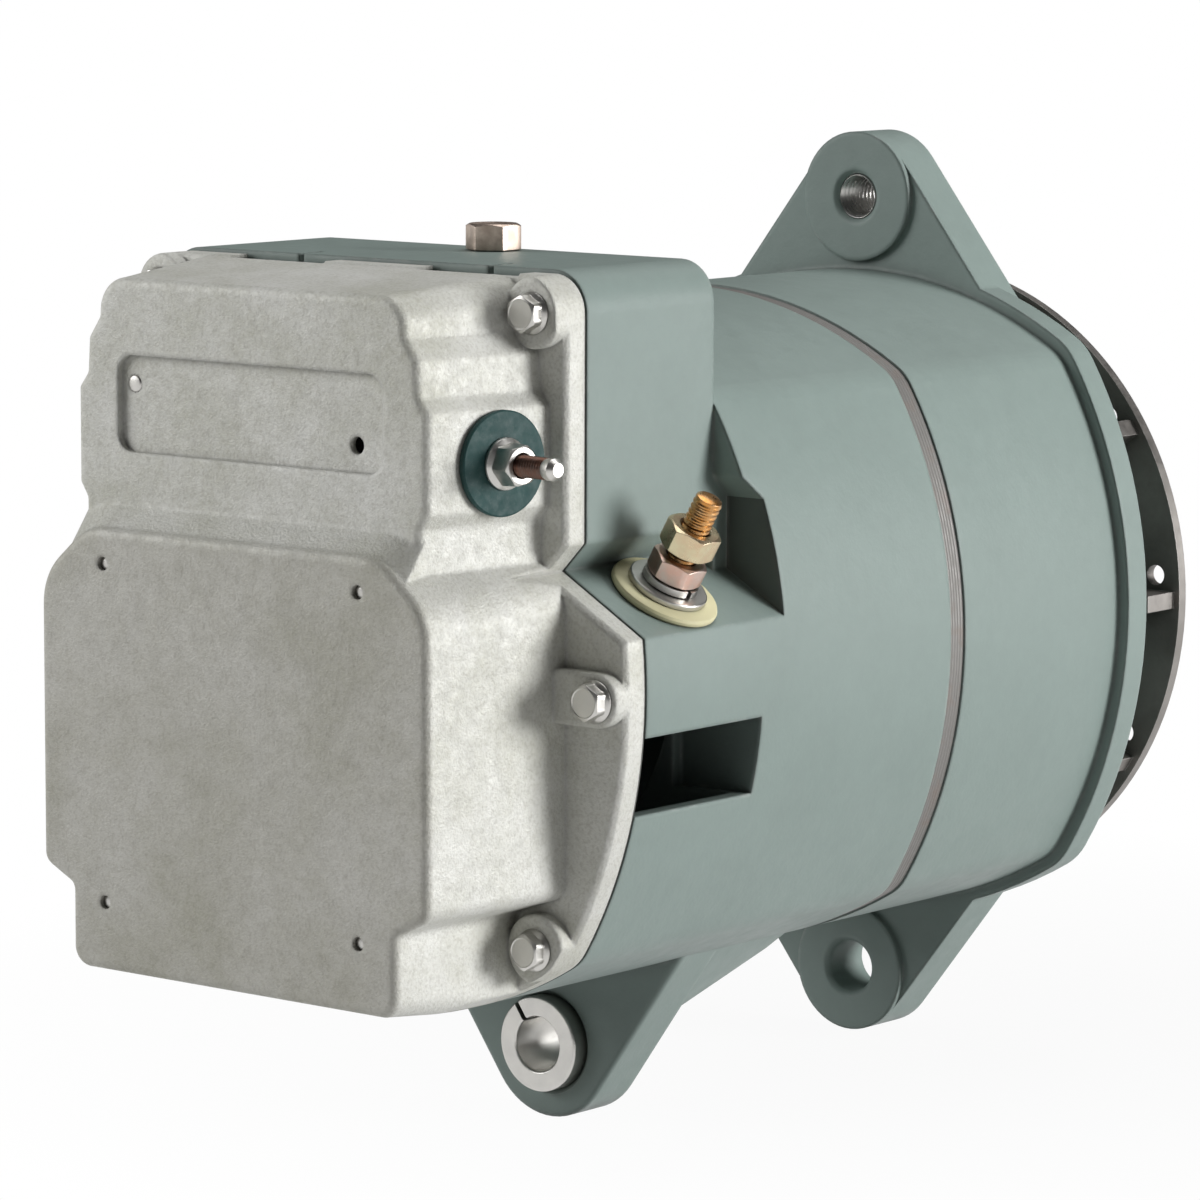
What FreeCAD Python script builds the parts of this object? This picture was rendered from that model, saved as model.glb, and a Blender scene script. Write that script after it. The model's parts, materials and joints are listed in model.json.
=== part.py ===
import FreeCAD, Part
import math
import os

# Heavy-duty brushless alternator, in millimetres.
# The shaft runs along Y. The origin is on the shaft axis at the pulley seat.
# +Y points out of the drive end, +X is the terminal side and +Z is up.

# Fits and clearances
SLIDE_FIT = 0.04
THREAD_FIT = 0.05
PRESS_FIT = 0.02
AIR_GAP = 0.6
FIELD_GAP = 1.5
FAN_GAP = 1.0
CUT_MARGIN = 15.0

# Squarish body section shared by both frames
BODY_HALF = 76.5
BODY_SIDE_RADIUS = 109.0
BODY_CORNER_RADIUS = 12.0
BODY_SHIFT = BODY_SIDE_RADIUS - BODY_HALF
BODY_CORNER_REACH = BODY_SIDE_RADIUS - BODY_CORNER_RADIUS
BODY_CORNER_CENTRE = (math.sqrt(2 * BODY_CORNER_REACH ** 2 - BODY_SHIFT ** 2) - BODY_SHIFT) / 2

# Lengths along the shaft, from the pulley seat towards the rear
SEAT_TO_LUG = 38.0
LUG_BOSS_HEIGHT = 1.5
FRONT_FLANGE_DEPTH = 8.3
FRONT_SKIRT_LENGTH = 61.5
SEAM_WIDTH = 5.5
REAR_BODY_LENGTH = 66.0
HOUSING_DEPTH = 43.1
GASKET_THICKNESS = 0.8
GASKET_INSET = 0.3
COVER_FLANGE_THICKNESS = 6.0
COVER_UPPER_DEPTH = 39.1
COVER_STEP_DEPTH = 6.5

# Lugs
LUG_REACH = 17.5
LUG_DROP = BODY_HALF + LUG_REACH
FRONT_LUG_THICKNESS = 15.0
FRONT_LUG_TIP_RADIUS = 15.5
LUG_BASE_HALF = 40.0
LUG_BASE_DEPTH = 8.5
LUG_BASE_HEIGHT = BODY_HALF - LUG_BASE_DEPTH
LUG_INNER_INSET = 10.5
LUG_INNER_RADIUS = BODY_HALF - LUG_INNER_INSET
ADJUSTING_BORE_RADIUS = 5.5
HINGE_BORE_RADIUS = 6.35
BORE_CHAMFER = 1.0
REAR_LUG_SETBACK = 29.5
REAR_LUG_THICKNESS = 13.0
REAR_LUG_TIP_RADIUS = 17.5
REAR_LUG_GUSSET = 27.0
GUSSET_TIP_WIDTH = 0.55
GUSSET_TIP_DROP = 0.94
GUSSET_ROOT_WIDTH = 0.8
GUSSET_ROOT_DROP = 0.97
BUSHING_RADIUS = 11.0
BUSHING_PROUD = 3.7
BUSHING_SLOT = 1.2
BUSHING_SLOT_ANGLE = 125.0
BUSHING_EDGE = 0.6

# Frame walls
PILOT_WALL = 3.3
FRONT_WALL = 15.8
FRONT_FLANGE_LIP = 2.8
BULKHEAD_THICKNESS = 8.0
BULKHEAD_POCKET_INSET = 22.5
BULKHEAD_POCKET_RADIUS = BODY_HALF - BULKHEAD_POCKET_INSET
WINDING_ROOM_DEPTH = 22.25
HOUSING_WALL = 4.0
HOUSING_FRONT_WALL = 6.0
EDGE_RADIUS = 1.2

# Rectifier housing on top of the rear frame
HOUSING_INSET = 16.5
HOUSING_HALF = BODY_HALF - HOUSING_INSET
HOUSING_RISE = 11.9
HOUSING_TOP = BODY_HALF + HOUSING_RISE
HOUSING_CORNER_RADIUS = 9.0
PLATFORM_INSET = 22.5
PLATFORM_X = BODY_HALF - PLATFORM_INSET
PLATFORM_Z = 24.7
PLATFORM_ANGLE = 30.0
HOUSING_FLARE = 6.3
TERMINAL_POCKET_DEPTH = 5.0
TERMINAL_POCKET_TOP = 37.0

# Side windows of the rear frame
WINDOW_TOP = -9.0
WINDOW_HEIGHT = 17.0
WINDOW_FRONT_WALL = 3.0

# Vents
FRONT_VENT_COUNT = 8
FRONT_VENT_HALF_ANGLE = 13.0
VENT_RIM = 4.0
BULKHEAD_VENT_COUNT = 6
BULKHEAD_VENT_RIM = 1.0
BULKHEAD_VENT_MARGIN = 9.5

# Rear cover
COVER_WALL = 3.2
COVER_CORNER_RADIUS = 8.0
COVER_FLANGE_EDGE = 1.0
COVER_FLANGE_DROP = 0.8
COVER_RIM_DEPTH = 2.2
COVER_UPPER_SPREAD = 6.0
COVER_LOWER_SPREAD = 4.9
COVER_TOP_LIFT = 3.2
COVER_BEND_RISE = 1.6
COVER_BEND_RADIUS = 1.6
COVER_CROWN_RISE = 2.3
COVER_TOP_RADIUS = 7.4
COVER_LEAN = 0.5
COVER_FOOT_RADIUS = 4.5
COVER_NOTCH_RADIUS = 2.0
COVER_NOTCH_BEND = 2.2
COVER_SIDE_RADIUS = 3.5
COVER_SHELF_RADIUS = 14.0
COVER_UPPER_INSET = 3.6
COVER_NECK_INSET = 2.1
COVER_SHOULDER_INSET = 2.5
COVER_CROWN_INSET = 6.2
COVER_TOP_DROP = 3.9
COVER_CROWN_DROP = 10.9
COVER_SHOULDER_DROP = 22.5
COVER_UPPER_HALF = PLATFORM_X - COVER_UPPER_INSET
COVER_NECK_HALF = COVER_UPPER_HALF - COVER_NECK_INSET
COVER_SHOULDER_HALF = COVER_UPPER_HALF - COVER_SHOULDER_INSET
COVER_CROWN_HALF = COVER_UPPER_HALF - COVER_CROWN_INSET
COVER_TOP_Z = HOUSING_TOP - COVER_TOP_DROP
COVER_CROWN_Z = COVER_TOP_Z - COVER_CROWN_DROP
COVER_SHOULDER_Z = COVER_TOP_Z - COVER_SHOULDER_DROP
COVER_NECK_Z = 37.8
COVER_LOWER_STEP = 1.8
COVER_LOWER_HALF = PLATFORM_X + COVER_LOWER_STEP
COVER_SHELF_Z = 31.0
COVER_CHAMFER_X = 13.5
COVER_CHAMFER_Z = 11.5
COVER_NOTCH_INSET = 8.8
COVER_NOTCH_RISE = 20.0
COVER_BOTTOM_INSET = 10.5
COVER_NOTCH_HALF = COVER_LOWER_HALF - COVER_NOTCH_INSET
COVER_BOTTOM_Z = COVER_BOTTOM_INSET - BODY_HALF
COVER_NOTCH_Z = COVER_BOTTOM_Z + COVER_NOTCH_RISE
COVER_EDGE_RADIUS = 2.0
RECESS_INSET = 12.4
RECESS_DROP = 37.5
RECESS_HALF = COVER_UPPER_HALF - RECESS_INSET
RECESS_HEIGHT = 21.0
RECESS_BOTTOM = COVER_TOP_Z - RECESS_DROP
RECESS_DEPTH = 1.6
RECESS_CORNER_RADIUS = 4.0
TOP_RELIEFS = [(-36.0, -8.5), (18.0, 46.5)]
TOP_RELIEF_DEPTH = 1.0
PRY_SLOT_PLACES = (-20.7, 33.6)
PRY_SLOT_WIDTH = 1.5
PRY_SLOT_LENGTH = 7.0
PRY_SLOT_DEPTH = 2.0

# Cover screws
TOP_SCREW_INSET = 6.5
TOP_SCREW_DROP = 8.5
SIDE_SCREW_INSET = 5.6
SIDE_SCREW_Z = -0.4
LOW_SCREW_STEP = 4.1
LOW_SCREW_DROP = 4.9
COVER_SCREW_PLACES = [
    (HOUSING_HALF - TOP_SCREW_INSET, HOUSING_TOP - TOP_SCREW_DROP),
    (BODY_HALF - SIDE_SCREW_INSET, SIDE_SCREW_Z),
    (BODY_CORNER_CENTRE + LOW_SCREW_STEP, -BODY_CORNER_CENTRE - LOW_SCREW_DROP),
]
COVER_BOSS_RADIUS = 7.6
COVER_BOSS_HEIGHT = 3.6
COVER_BOSS_EDGE = 0.8
COVER_BLOCK_HALF = 5.8
COVER_SCREW_RADIUS = 2.5
COVER_SCREW_GRIP = 14.0
COVER_SCREW_FLATS = 7.2
COVER_SCREW_HEAD = 2.9
COVER_SCREW_FLANGE_RADIUS = 4.6
COVER_SCREW_FLANGE = 1.0
SCREW_BOSS_RADIUS = 6.0
SCREW_BOSS_LENGTH = 17.5
THREAD_RUNOUT = 1.5
HEX_DOME_SHARE = 0.2
HEX_TOP_SHARE = 0.98

# Pins in the cover's rear faces
PIN_RADIUS = 1.5
PIN_INSET = 19.1
PIN_UPPER_DROP = 7.8
PIN_LOWER_RISE = 15.1
PIN_X = COVER_LOWER_HALF - PIN_INSET
PIN_UPPER_Z = COVER_SHELF_Z - PIN_UPPER_DROP
PIN_LOWER_Z = COVER_BOTTOM_Z + PIN_LOWER_RISE
PIN_LENGTH = 9.0
PIN_SINK = 0.8
PLATE_PIN_RADIUS = 1.9
LEFT_PLATE_PIN_INSET = 3.7
LEFT_PLATE_PIN_RISE = 14.7
RIGHT_PLATE_PIN_INSET = 8.4
RIGHT_PLATE_PIN_RISE = 5.7
PLATE_PIN_LEFT = (LEFT_PLATE_PIN_INSET - RECESS_HALF, RECESS_BOTTOM + LEFT_PLATE_PIN_RISE)
PLATE_PIN_RIGHT = (RECESS_HALF - RIGHT_PLATE_PIN_INSET, RECESS_BOTTOM + RIGHT_PLATE_PIN_RISE)

# Stator
CORE_LENGTH = 58.0
SLOT_COUNT = 36
SLOT_WIDTH = 4.6
SLOT_INSET = 22.5
TOOTH_TIP = 1.4
SLOT_INNER = BODY_HALF - SLOT_INSET
CORE_BORE_RADIUS = SLOT_INNER - TOOTH_TIP
SLOT_DEPTH = 11.0
SLOT_MOUTH = 2.0
WINDING_FIT = 0.1
END_TURN_LENGTH = 18.0
END_TURN_DEPTH = 13.0
WINDING_ROOM_GAP = 2.0
END_TURN_OUTER = SLOT_INNER + END_TURN_DEPTH
WINDING_ROOM_RADIUS = END_TURN_OUTER + WINDING_ROOM_GAP
LEAD_RADIUS = 1.6
LEAD_HOLE_RADIUS = 2.6
LEAD_INSET = 30.0
LEAD_RISE = 4.0
LEAD_PITCH = HOUSING_HALF - LEAD_INSET
LEAD_Z = SLOT_INNER + LEAD_RISE

# Long bolts through both frames
FRAME_BOLT_INSET = 3.0
FRAME_BOLT_CIRCLE = BODY_HALF - FRAME_BOLT_INSET
FRAME_BOLT_RADIUS = 3.0
FRAME_BOLT_FLATS = 9.0
FRAME_BOLT_HEAD = 4.0
FRAME_BOLT_REACH = 20.0
FRAME_BOLT_SINK_RADIUS = 5.8

# Shaft
SEAT_RADIUS = 11.11
SEAT_LENGTH = 32.0
NOSE_RADIUS = 7.94
NOSE_LENGTH = 22.0
FAN_SEAT_RADIUS = 11.5
SHAFT_RADIUS = 15.0
REAR_JOURNAL_RADIUS = 10.0
SHAFT_CHAMFER = 0.8
NUT_FLATS = 23.8
NUT_HEIGHT = 13.0
WASHER_RADIUS = 15.5
WASHER_THICKNESS = 2.5

# Front ball bearing
FRONT_BEARING_BORE = 12.5
FRONT_BEARING_OUTER = 31.0
FRONT_BEARING_WIDTH = 17.0
BALL_RADIUS = 4.76
BALL_COUNT = 9
RACE_SHOULDER = 3.15
SHIELD_THICKNESS = 0.8
SHIELD_MARGIN = 0.5
CAGE_THICKNESS = 2.7
CAGE_WIDTH = 12.0
BALL_FIT = 0.05
POCKET_FIT = 0.15
FRONT_BEARING_FACE = 35.0
FRONT_HUB_RADIUS = 40.0
FRONT_HUB_BORE = 20.0
RETAINER_THICKNESS = 3.0
RETAINER_BORE = 27.0
RETAINER_RADIUS = 39.0
RETAINER_SCREW_CIRCLE = 35.4
RETAINER_SCREW_RADIUS = 2.0
RETAINER_SCREW_REACH = 10.0
RETAINER_HEAD_RADIUS = 3.4
RETAINER_HEAD_HEIGHT = 2.6

# Rear roller bearing
REAR_BEARING_OUTER = 23.5
REAR_BEARING_WIDTH = 14.0
ROLLER_RADIUS = 2.65
ROLLER_LENGTH = 9.0
ROLLER_COUNT = 13
ROLLER_PITCH_RADIUS = 16.85
ROLLER_CAGE_THICKNESS = 2.1
ROLLER_CAGE_WIDTH = 12.0
REAR_HUB_WALL = 5.0
REAR_HUB_FLOOR = 3.0
REAR_HUB_SPACE = 3.0
REAR_HUB_MOUTH = 18.0
REAR_BEARING_INSET = 4.0

# Fan
FAN_OVERHANG = 0.1
FAN_RADIUS = BODY_HALF + FAN_OVERHANG
FAN_DISC_SETBACK = 8.25
FAN_DISC_THICKNESS = 2.75
FAN_HUB_RADIUS = 22.0
FAN_BLADE_COUNT = 11
FAN_BLADE_THICKNESS = 4.0
FAN_BLADE_INNER = 34.0
FAN_BLADE_MARGIN = 1.6
FAN_RELIEF_RADIUS = 2.4
FAN_RELIEF_INSET = 6.6
FAN_RELIEF_CIRCLE = FAN_RADIUS - FAN_RELIEF_INSET
FAN_RELIEF_OFFSET = 4.6
SPACER_RADIUS = 16.0

# Rotor poles and stationary field
POLE_PAIRS = 6
POLE_DISC_THICKNESS = 14.0
REAR_POLE_THICKNESS = 12.0
CLAW_THICKNESS = 10.0
CLAW_INNER = CORE_BORE_RADIUS - AIR_GAP - CLAW_THICKNESS
CLAW_ROOT_DEPTH = 4.0
POLE_DISC_STEP = 0.5
CLAW_ROOT_INNER = CLAW_INNER - CLAW_ROOT_DEPTH
POLE_DISC_RADIUS = CLAW_INNER - POLE_DISC_STEP
CLAW_ROOT_ANGLE = 19.0
CLAW_TIP_ANGLE = 8.0
CLAW_TIP_GAP = 5.8
JOINING_RING_INNER = CLAW_ROOT_INNER
JOINING_RING_WIDTH = 10.0
FIELD_COIL_GAP = 1.0
FIELD_NECK_INSET = 2.5
FIELD_CORE_INSET = 2.0
SHAFT_GAP = 2.0
FIELD_COIL_RADIUS = JOINING_RING_INNER - FIELD_COIL_GAP
FIELD_NECK_RADIUS = FIELD_COIL_RADIUS - FIELD_NECK_INSET
FIELD_CORE_RADIUS = (FIELD_COIL_RADIUS + SHAFT_RADIUS) / 2 - FIELD_CORE_INSET
FIELD_BORE_RADIUS = SHAFT_RADIUS + SHAFT_GAP
FIELD_TUBE_GAP = 2.25
FIELD_BASE_GAP = 3.25
FIELD_COIL_LENGTH = 25.0
FIELD_SCREW_RADIUS = 2.5
FIELD_SCREW_REACH = 12.0
FIELD_HEAD_RADIUS = 4.0
FIELD_HEAD_HEIGHT = 4.0
FIELD_HEAD_GAP = 1.5
FIELD_BASE_RIM = 6.0
FIELD_SCREW_CIRCLE = REAR_BEARING_OUTER + REAR_HUB_WALL + FIELD_HEAD_RADIUS + FIELD_HEAD_GAP
FIELD_BASE_RADIUS = FIELD_SCREW_CIRCLE + FIELD_BASE_RIM

# Rectifier inside the housing
SINK_INSET = 14.0
SINK_HALF = HOUSING_HALF - SINK_INSET
SINK_BOTTOM = 37.0
SINK_TOP_GAP = 10.4
SINK_HEIGHT = HOUSING_TOP - SINK_TOP_GAP - SINK_BOTTOM
SINK_THICKNESS = 4.0
DIODE_RADIUS = 6.35
DIODE_LENGTH = 8.0
DIODE_ROW_OFFSET = 11.5
DIODE_ROW_SHIFT = 0.5
STRAP_THICKNESS = 1.5
STRAP_WIDTH = 12.0
STRAP_HEIGHT = 36.0
SPACER_INSET = 4.5
SPACER_STEP = 8.0
SPACER_X = SINK_HALF - SPACER_INSET
SPACER_PLACES = [(SPACER_X, LEAD_Z - SPACER_STEP), (SPACER_X, LEAD_Z + SPACER_STEP)]
STANDOFF_RADIUS = 3.5
SINK_SCREW_RADIUS = 2.0
SINK_SCREW_HEAD_RADIUS = 3.4
SINK_SCREW_HEAD = 3.0
SINK_SCREW_BITE = 4.0
BUS_THICKNESS = 2.0
BUS_WIDTH = 14.0
BUS_OVERLAP = 8.0
BUS_TAIL = 2.8

# Output terminal on the sloped platform
OUTPUT_STUD_SETBACK = 23.5
OUTPUT_STUD_RADIUS = 3.18
OUTPUT_STUD_HEIGHT = 25.5
OUTPUT_NUT_FLATS = 11.1
OUTPUT_HOLE_RADIUS = 5.5
OUTPUT_DISC_RADIUS = 12.2
OUTPUT_DISC_CLEARANCE = 0.5
OUTPUT_DISC_THICKNESS = 2.0
OUTPUT_INNER_WASHER_RADIUS = 8.0
OUTPUT_INNER_WASHER = 2.5
OUTPUT_WASHER_RADIUS = 8.9
OUTPUT_WASHER_THICKNESS = 1.5
LOCK_WASHER_RADIUS = 6.3
LOCK_WASHER_THICKNESS = 1.7
LOCK_WASHER_SLOT = 1.2
LOCK_SLOT_ANGLE = 60.0
LOWER_NUT_HEIGHT = 5.0
NUT_SPACING = 1.8
UPPER_NUT_HEIGHT = 5.8
OUTPUT_HEAD_HEIGHT = 4.0

# Small terminal on the side of the cover
RELAY_SETBACK = 19.5
RELAY_Z = 49.2
RELAY_STUD_RADIUS = 2.4
RELAY_STUD_LENGTH = 18.6
RELAY_DISC_RADIUS = 11.2
RELAY_DISC_THICKNESS = 1.6
RELAY_HOLE_RADIUS = 4.0
RELAY_INNER_RADIUS = 7.0
RELAY_HEAD_RADIUS = 5.0
RELAY_HEAD_HEIGHT = 2.5
RELAY_NUT_FLATS = 8.0
RELAY_NUT_HEIGHT = 4.6
RELAY_NUT_FLANGE_RADIUS = 5.6
RELAY_NUT_FLANGE = 1.2

# Ground screw on top of the housing
GROUND_SCREW_X = 4.0
GROUND_SCREW_SETBACK = 7.5
GROUND_SCREW_RADIUS = 3.0
GROUND_SCREW_FLATS = 11.1
GROUND_SCREW_HEAD = 6.0
GROUND_SCREW_REACH = 8.4
GROUND_BOSS_RADIUS = 6.0
GROUND_BOSS_DEPTH = 8.9

# Electronics behind the bulkhead
REGULATOR_INSET = 13.8
REGULATOR_RISE = 9.0
REGULATOR_TOP_GAP = 5.5
REGULATOR_HALF = COVER_LOWER_HALF - REGULATOR_INSET
REGULATOR_BOTTOM = COVER_BOTTOM_Z + REGULATOR_RISE
REGULATOR_HEIGHT = COVER_SHELF_Z - REGULATOR_TOP_GAP - REGULATOR_BOTTOM
REGULATOR_DEPTH = 17.0
REGULATOR_RIB_DEPTH = 3.0
REGULATOR_RIB_HALF = 1.5
REGULATOR_RIB_COUNT = 5
CAPACITOR_RADIUS = 8.0
CAPACITOR_LENGTH = 36.0
CAPACITOR_SETBACK = 14.0
CAPACITOR_CAP = 2.0
CAPACITOR_CAP_RADIUS = CAPACITOR_RADIUS * 0.7
SEAT_GAP = 0.3
TRIO_HALF = 17.0
TRIO_BOTTOM = -6.0
TRIO_HEIGHT = 14.0
TRIO_DEPTH = 6.0

# Stations along the shaft
LUG_FACE_Y = -SEAT_TO_LUG
FRONT_PLATE_Y = LUG_FACE_Y + LUG_BOSS_HEIGHT
FRONT_LUG_Y = LUG_FACE_Y + FRONT_LUG_THICKNESS
FRONT_FLANGE_Y = FRONT_PLATE_Y + FRONT_FLANGE_DEPTH
SEAM_FRONT_Y = FRONT_PLATE_Y - FRONT_SKIRT_LENGTH
SEAM_REAR_Y = SEAM_FRONT_Y - SEAM_WIDTH
CORE_FRONT_Y = (SEAM_FRONT_Y + SEAM_REAR_Y + CORE_LENGTH) / 2
CORE_REAR_Y = CORE_FRONT_Y - CORE_LENGTH
BULKHEAD_FRONT_Y = CORE_REAR_Y - WINDING_ROOM_DEPTH
BULKHEAD_REAR_Y = BULKHEAD_FRONT_Y - BULKHEAD_THICKNESS
TERMINAL_WALL_Y = SEAM_REAR_Y - REAR_BODY_LENGTH
HOUSING_INNER_Y = TERMINAL_WALL_Y - HOUSING_FRONT_WALL
JOINT_Y = TERMINAL_WALL_Y - HOUSING_DEPTH
COVER_FRONT_Y = JOINT_Y - GASKET_THICKNESS
COVER_FLANGE_Y = COVER_FRONT_Y - COVER_FLANGE_THICKNESS
COVER_UPPER_Y = COVER_FRONT_Y - COVER_UPPER_DEPTH
COVER_LOWER_Y = COVER_UPPER_Y - COVER_STEP_DEPTH
COVER_SCREW_SEAT_Y = COVER_FLANGE_Y - COVER_BOSS_HEIGHT
REAR_LUG_FRONT_Y = TERMINAL_WALL_Y + REAR_LUG_SETBACK
REAR_LUG_REAR_Y = REAR_LUG_FRONT_Y - REAR_LUG_THICKNESS
FRONT_BEARING_FRONT_Y = -FRONT_BEARING_FACE
FRONT_BEARING_REAR_Y = FRONT_BEARING_FRONT_Y - FRONT_BEARING_WIDTH
REAR_BEARING_FRONT_Y = BULKHEAD_FRONT_Y - REAR_BEARING_INSET
REAR_BEARING_REAR_Y = REAR_BEARING_FRONT_Y - REAR_BEARING_WIDTH
REAR_HUB_REAR_Y = REAR_BEARING_REAR_Y - REAR_HUB_SPACE - REAR_HUB_FLOOR
FAN_HUB_REAR_Y = FRONT_LUG_Y + FAN_GAP
FAN_DISC_REAR_Y = -FAN_DISC_SETBACK - FAN_DISC_THICKNESS
REAR_HUB_RADIUS = REAR_BEARING_OUTER + REAR_HUB_WALL
BULKHEAD_VENT_RADIUS = (BULKHEAD_POCKET_RADIUS - REAR_HUB_RADIUS - BULKHEAD_VENT_MARGIN) / 2
BULKHEAD_VENT_CIRCLE = BULKHEAD_POCKET_RADIUS - BULKHEAD_VENT_RADIUS - BULKHEAD_VENT_RIM
FRONT_VENT_INNER = FRONT_HUB_RADIUS + VENT_RIM
FRONT_VENT_OUTER = WINDING_ROOM_RADIUS - VENT_RIM
BALL_CIRCLE = (FRONT_BEARING_BORE + FRONT_BEARING_OUTER) / 2 + 0.1
FRONT_BEARING_MID_Y = (FRONT_BEARING_FRONT_Y + FRONT_BEARING_REAR_Y) / 2
REAR_BEARING_MID_Y = (REAR_BEARING_FRONT_Y + REAR_BEARING_REAR_Y) / 2
NEGATIVE_SINK_Y = HOUSING_INNER_Y - SINK_THICKNESS
STRAP_FRONT_Y = NEGATIVE_SINK_Y - DIODE_LENGTH
STRAP_REAR_Y = STRAP_FRONT_Y - STRAP_THICKNESS
POSITIVE_SINK_FRONT_Y = STRAP_REAR_Y - DIODE_LENGTH
POSITIVE_SINK_REAR_Y = POSITIVE_SINK_FRONT_Y - SINK_THICKNESS
DIODE_MID_Z = LEAD_Z - DIODE_ROW_SHIFT

# Heights in the output terminal's stack, from the platform along the stud
WASHER_BASE = OUTPUT_DISC_THICKNESS
LOCK_BASE = WASHER_BASE + OUTPUT_WASHER_THICKNESS
LOWER_NUT_BASE = LOCK_BASE + LOCK_WASHER_THICKNESS
UPPER_NUT_BASE = LOWER_NUT_BASE + LOWER_NUT_HEIGHT + NUT_SPACING
BUS_TOP_DEPTH = HOUSING_WALL + OUTPUT_INNER_WASHER
OUTPUT_STUD_Y = TERMINAL_WALL_Y - OUTPUT_STUD_SETBACK
OUTPUT_DISC_ROOM = OUTPUT_DISC_RADIUS + OUTPUT_DISC_CLEARANCE
OUTPUT_STUD_X = PLATFORM_X + OUTPUT_DISC_ROOM * math.cos(math.radians(PLATFORM_ANGLE))

Y_AXIS = FreeCAD.Vector(0, 1, 0)
X_AXIS = FreeCAD.Vector(1, 0, 0)
Z_AXIS = FreeCAD.Vector(0, 0, 1)


# Basic shapes
def point(x, z, y=0.0):
    return FreeCAD.Vector(x, y, z)


def rod(radius, y_from, y_to, x=0.0, z=0.0):
    low = min(y_from, y_to)
    return Part.makeCylinder(radius, abs(y_to - y_from), point(x, z, low), Y_AXIS)


def ring(outer, inner, y_from, y_to, x=0.0, z=0.0):
    return rod(outer, y_from, y_to, x, z).cut(rod(inner, y_from, y_to, x, z))


def box(x_from, x_to, y_from, y_to, z_from, z_to):
    corner = FreeCAD.Vector(min(x_from, x_to), min(y_from, y_to), min(z_from, z_to))
    return Part.makeBox(abs(x_to - x_from), abs(y_to - y_from), abs(z_to - z_from), corner)


def prism(face, y_from, y_to):
    solid = face.extrude(FreeCAD.Vector(0, y_to - y_from, 0))
    solid.translate(FreeCAD.Vector(0, y_from, 0))
    return solid


def fused(shapes):
    whole = shapes[0].multiFuse(shapes[1:]) if len(shapes) > 1 else shapes[0]
    return whole.removeSplitter()


def without(shape, tools):
    return shape.cut(Part.makeCompound(tools))


def polygon_face(corners):
    points = [point(x, z) for x, z in corners]
    return Part.Face(Part.makePolygon(points + points[:1]))


def rounded_face(corners):
    """Face in the XZ plane; each corner is x, z and its own radius."""
    ends = []
    count = len(corners)
    for index in range(count):
        x, z, radius = corners[index]
        here = point(x, z)
        before = point(*corners[index - 1][:2]) - here
        after = point(*corners[(index + 1) % count][:2]) - here
        before.normalize()
        after.normalize()
        half = before.getAngle(after) / 2
        reach = radius / math.tan(half)
        bisector = before + after
        bisector.normalize()
        middle = here + bisector * (radius / math.sin(half) - radius)
        ends.append((here + before * reach, middle, here + after * reach))
    edges = []
    for index in range(count):
        start, middle, finish = ends[index]
        edges.append(Part.Arc(start, middle, finish).toShape())
        edges.append(Part.LineSegment(finish, ends[(index + 1) % count][0]).toShape())
    return Part.Face(Part.Wire(edges))


def mirrored(corners):
    """Right half from bottom to top, completed with its mirror image."""
    left = [(-x, z, radius) for x, z, radius in reversed(corners)]
    return corners + left


def rim_edges(solid, y):
    """Edges that lie wholly in the plane at this station."""
    found = []
    for edge in solid.Edges:
        bounds = edge.BoundBox
        if abs(bounds.YMin - y) < 1e-6 and abs(bounds.YMax - y) < 1e-6:
            found.append(edge)
    return found


def softened(solid, y, radius):
    return solid.makeFillet(radius, rim_edges(solid, y))


def bevelled(solid, y, width):
    return solid.makeChamfer(width, rim_edges(solid, y))


def aimed(solid, place, axis):
    """Turn a solid made along +Z so that it points along axis from place."""
    turned = solid.copy()
    turned.Placement = FreeCAD.Placement(place, FreeCAD.Rotation(Z_AXIS, axis))
    return turned


def upright_hexagon(flats, height, base=0.0):
    corner = flats / math.sqrt(3)
    angles = [math.radians(60 * step + 30) for step in range(6)]
    points = [FreeCAD.Vector(corner * math.cos(a), corner * math.sin(a), base) for a in angles]
    face = Part.Face(Part.makePolygon(points + points[:1]))
    prism_shape = face.extrude(FreeCAD.Vector(0, 0, height))
    drum_height = height * (1 - HEX_DOME_SHARE)
    dome_base = FreeCAD.Vector(0, 0, base + drum_height)
    dome = Part.makeCone(corner, flats / 2 * HEX_TOP_SHARE, height * HEX_DOME_SHARE, dome_base)
    drum = Part.makeCylinder(corner, drum_height, FreeCAD.Vector(0, 0, base))
    return prism_shape.common(drum.fuse(dome))


def upright_rod(radius, height, base=0.0):
    return Part.makeCylinder(radius, height, FreeCAD.Vector(0, 0, base))


def upright_ring(outer, inner, height, base=0.0):
    return upright_rod(outer, height, base).cut(upright_rod(inner, height, base))


def on_circle(radius, count, start=0.0):
    """Places round the shaft as x and z."""
    places = []
    for step in range(count):
        angle = math.radians(start + 360.0 * step / count)
        places.append((radius * math.cos(angle), radius * math.sin(angle)))
    return places


def sector(inner, outer, half_angle, centre_angle, y_from, y_to):
    wedge = []
    for angle in (-half_angle, half_angle):
        turn = math.radians(centre_angle + angle)
        reach = outer / math.cos(math.radians(half_angle)) * 1.05
        wedge.append((reach * math.cos(turn), reach * math.sin(turn)))
    wedge_solid = prism(polygon_face([(0.0, 0.0)] + wedge), y_from, y_to)
    return wedge_solid.common(ring(outer, inner, y_from, y_to))


def both_sides(places):
    return places + [(-x, z) for x, z in places]


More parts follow.
